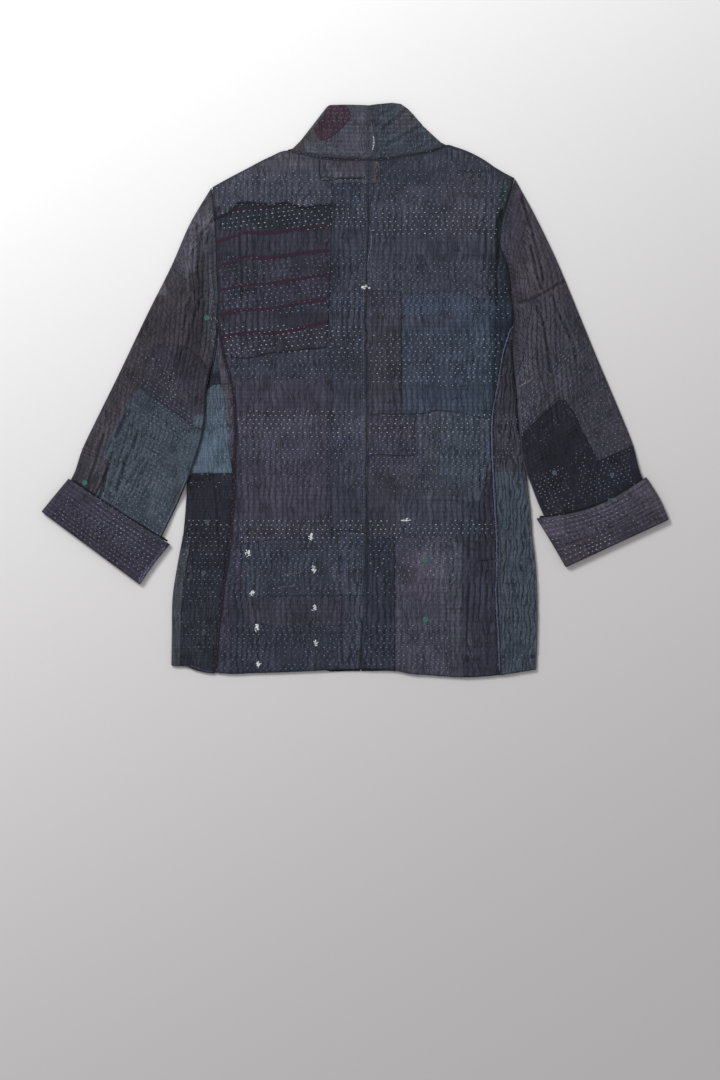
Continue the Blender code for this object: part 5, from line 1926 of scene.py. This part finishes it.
# Strips of painted shadow: one beside each sleeve's inner fold, and one above each cuff's
# turned-back edge.
painted_gap_shadows = [
    arm_line(sleeve_surface, hand, [(1, at) for at in FOLD_SHADOW_PLACES[hand]]) + (shift, 0)
    for hand, shift in (("right", -2.0), ("left", 1.4))
]
strips("fold_gaps", "dark", painted_gap_shadows, 3.4, 0.1, 0.5)
painted_gap_shadows = [
    arm_line(cuff_surface, hand, CUFF_EDGE, past=past)
    for hand, past in (("left", -2.2), ("right", -1.8))
]
strips("cuff_gaps", "dark", painted_gap_shadows, 3.0, 0.1, 0.5)
fray("cuff_lip", "lilac", arm_line(cuff_surface, "left", CUFF_EDGE, past=0.8), 3.0, 3.6, 0.5, 0.6)
cuff_end = arm_line(cuff_surface, "left", [(0.985, down) for down in np.linspace(0.1, 1.0, 9)])
fray("cuff_end", "lilac", cuff_end, 0.7, 3.6, 0.9, 0.8, 0.7, 1.2)
fray("cuff_end_blue", "blue", cuff_end[4:], 1.6, 5.0, 1.8, 0.9, 0.8, 1.2)
seams = [arm_line(sleeve_surface, hand, places) for hand, places in SLEEVE_SEAMS]
dashes("sleeve_seams", "dark", seams, 2.6, 3.0, 0.8, 1.2, 0.5)
lilac_edge = arm_line(sleeve_surface, "left", ((0.985, 5.2), (0.985, 6.0), (0.985, 7.0)))
strips("sleeve_lilac_edge", "lilac", [lilac_edge], 1.6, 0.3, 0.45, 0.3)
dashes("loose_ends", "dark", TIPS, 2.0, 5.0, 0.8, 0.8)

# %% [markdown]
# White knots and small round darns are the brightest points. A knot is a bundle of thick short
# threads, and a round darn is a ring of threads laid from its middle outward.

# %% Knots, darns and loose threads
KNOTS = (
    # x, y, half width, half height
    (-150, -229, 2.0, 2.4), (-143, -283, 1.6, 2.2), (-136.5, -333, 1.4, 1.9),
    (-136, -384, 1.5, 1.8), (-57, -251, 1.1, 3.0), (-57, -305, 1.2, 3.0), (-55, -354, 1.2, 2.2),
    (-62, -206, 1.4, 2.0), (14, 143.5, 3.2, 1.0), (70, -182, 4.0, 1.0),
)
DARNS = {
    # thread: rows of x, y, radius, brightness
    "green": (
        (98, -238, 4.6, 1.1), (99, -321, 4.4, 1.1), (-207, 101, 4.2, 1.2), (-378, -130, 4.0, 1.1),
    ),
    "pale_teal": (
        (279, -116, 3.8, 0.75), (360, -119, 3.4, 0.65), (-207, -185, 3.6, 0.6),
        (-212, -256, 3.6, 0.6), (-211, -339, 3.4, 0.5),
    ),
}
KNOT_THREADS, DARN_THREADS = 11, 18
x, y, half_wide, half_high = np.repeat(np.array(KNOTS, float).T, KNOT_THREADS, axis=1)
count = len(x)
stitches(
    "knots", "knot_white",
    x + half_wide * chance.normal(0, 1, count), y + half_high * chance.normal(0, 1, count),
    chance.uniform(-1.5, 1.5, count) * np.minimum(1, half_high / half_wide),
    chance.uniform(3.2, 6.6, count), chance.uniform(1.1, 1.9, count),
    chance.uniform(0.75, 1.15, count), None, 2.0,
)
for thread, spots in DARNS.items():
    x, y, radius, bright = np.repeat(np.array(spots).T, DARN_THREADS, axis=1)
    turn = np.tile(np.arange(DARN_THREADS) * math.tau / DARN_THREADS, len(spots))
    turn = turn + chance.normal(0, 0.1, len(x))
    stitches(
        f"darns_{thread}", thread, x + 0.55 * radius * np.cos(turn),
        y + 0.55 * radius * np.sin(turn), turn, 1.05 * radius, 1.5,
        bright * chance.uniform(0.75, 1.1, len(x)), None, 1.3,
    )
SHORT_ROWS = [((-99, -259), (-77, -256)), ((-108, -277), (-84, -274)), ((115, -277), (130, -277))]
dashes("short_rows", "lilac", SHORT_ROWS, 3.2, 3.0, 0.8)
fray("fold_fray", "white", ((-195, 101), (-192, 94)), 1.2, 2.8, 0.8, 0.8, 0.6)
dashes("slanted_thread", "white", [((229, 4), (246, 14))], 4.0, 5.2, 0.8, 0.9)
LOOSE = [((19, 231), (23, 215), (22, 200), (19, 186), (17, 168))]
LOOSE += [((14, 143), (20, 149), (24, 151))]
dashes("loose_thread", "white", LOOSE, 2.2, 3.2, 0.7, 0.5)
dashes("collar_seam", "knot_white", [((24.5, 336), (26.5, 344), (26, 355))], 2.4, 2.8, 0.9, 1.5)
RED_SEAM = ((22.5, 325), (27, 338), (27.5, 352), (25, 372), (20.5, 397))
dashes("collar_seam_red", "maroon", [RED_SEAM], 3.2, 3.6, 0.9, 0.9)

# %% [markdown]
# ## The table, the light and the camera
#
# The jacket lies on pale paper under a large soft light from the upper left. The paper's colour
# goes from white at the upper left to grey at the lower right: a painted falloff of that light.
# The camera looks straight down on it through a long lens from high up, so that the jacket's
# outline stays true.

# %% Floor, light and camera
# The paper's colour at its lit and its shaded corner: a painted light falloff.
PAPER_PAINTED_LIT, PAPER_PAINTED_SHADE = "#ffffff", "#bcb9ba"


def paper():
    """Smooth pale paper with a painted light falloff: its colour darkens evenly from one corner to
    the other.
    """
    made, tree, shader = new_finish("pale_backdrop_paper", 0.95, 0.0)
    place = add(tree, "TexCoord", out="Object")
    grain = add(tree, "TexNoise", {"Vector": place, "Scale": 900.0, "Detail": 1.0})
    right = add(tree, "SeparateXYZ", {0: place})
    # A painted light falloff: the colour darkens away from the lamp at the upper left.
    down = {0: right, 1: -0.5, 2: right.node.outputs["Y"]}
    painted_falloff = add(tree, "Math", down, operation="MULTIPLY_ADD")
    painted_falloff = add(tree, "Math", {0: grain, 1: 0.03, 2: painted_falloff}, operation="MULTIPLY_ADD")
    share = add(tree, "MapRange", {0: painted_falloff, 1: -1.3, 2: 0.7})
    share = add(tree, "Math", {0: share, 1: 2.0}, operation="POWER")
    dark, light = (*linear(PAPER_PAINTED_SHADE), 1), (*linear(PAPER_PAINTED_LIT), 1)
    paint = add(tree, "Mix", {0: share, 6: dark, 7: light}, 2, data_type="RGBA")
    tree.links.new(paint, shader.inputs["Base Color"])
    return made


bpy.ops.mesh.primitive_plane_add(size=6, location=(0, 0, -0.0003))
floor = bpy.context.object
floor.name = "backdrop"
floor.data.materials.append(paper())

scene = bpy.context.scene
light_data = bpy.data.lights.new("soft_window", "AREA")
light_data.shape, light_data.size, light_data.energy = "SQUARE", 1.6, 200
light = bpy.data.objects.new("soft_window", light_data)
light.location = (-2.6, 2.8, 3.6)
light.rotation_euler = (-light.location).to_track_quat("-Z", "Y").to_euler()
scene.collection.objects.link(light)

scene.world = bpy.data.worlds.new("studio")
scene.world.use_nodes = True
sky = scene.world.node_tree.nodes["Background"].inputs
sky["Color"].default_value, sky["Strength"].default_value = (1, 1, 1, 1), 0.5

LENS, SENSOR = 100.0, 36.0
VIEW_HIGH = 1.512  # the height of the view at the cloth, in metres
CLOTH_TOP = 0.004
VIEW_MIDDLE = (7, -210)  # where on the table the camera looks
camera_data = bpy.data.cameras.new("camera")
camera_data.lens, camera_data.sensor_fit, camera_data.sensor_width = LENS, "AUTO", SENSOR
camera_data.clip_end = 50.0
camera = bpy.data.objects.new("camera", camera_data)
place_x, place_y = (VIEW_MIDDLE[0] + shift_x) * MM, (VIEW_MIDDLE[1] + shift_y) * MM
camera.location = (place_x, place_y, VIEW_HIGH * LENS / SENSOR + CLOTH_TOP)
scene.collection.objects.link(camera)
bpy.context.scene.camera = camera
# The dyes are measured as plain sRGB, so they are shown as plain sRGB.
scene.view_settings.view_transform = "Standard"
print("camera", round(camera.location.z, 2), "m up")

# %% [markdown]
# ## What each piece of cloth is
#
# For each piece, what it lies on is worked out here; the size of its cut was measured above.

FRONTS, BACKS = ("front_left", "front_right"), ("back_left", "back_right")
RESTS_ON = dict.fromkeys(("collar_left", "collar_right", *BACKS), FRONTS)
RESTS_ON.update(dict.fromkeys(("patch_wine", "patch_collar_slate"), ("collar_left",)))
for node, *_ in SLEEVE_PATCHES:
    RESTS_ON[node] = ("sleeve_right" if "night" in node else "sleeve_left",)
for node in sheets:
    if node.startswith("patch") and node.endswith("side"):
        RESTS_ON[node] = ("side_right" if "sea" in node else "side_left",)
    elif node.startswith("patch") and node not in RESTS_ON:
        RESTS_ON[node] = BACKS
for node, (piece, (wide, long, area)) in sheets.items():
    # The side panels, the sleeves, the cuffs and the fronts lie on the paper.
    below = [f"{lower}_cloth" for lower in RESTS_ON.get(node, ())] or [floor.name]

shown = [piece for piece in bpy.data.objects if piece.type == "MESH" and not piece.hide_render]
triangles = {piece.name: len(piece.data.loops) - 2 * len(piece.data.polygons) for piece in shown}
print("triangles:", sum(triangles.values()), "most:", max(triangles.items(), key=lambda t: t[1]))
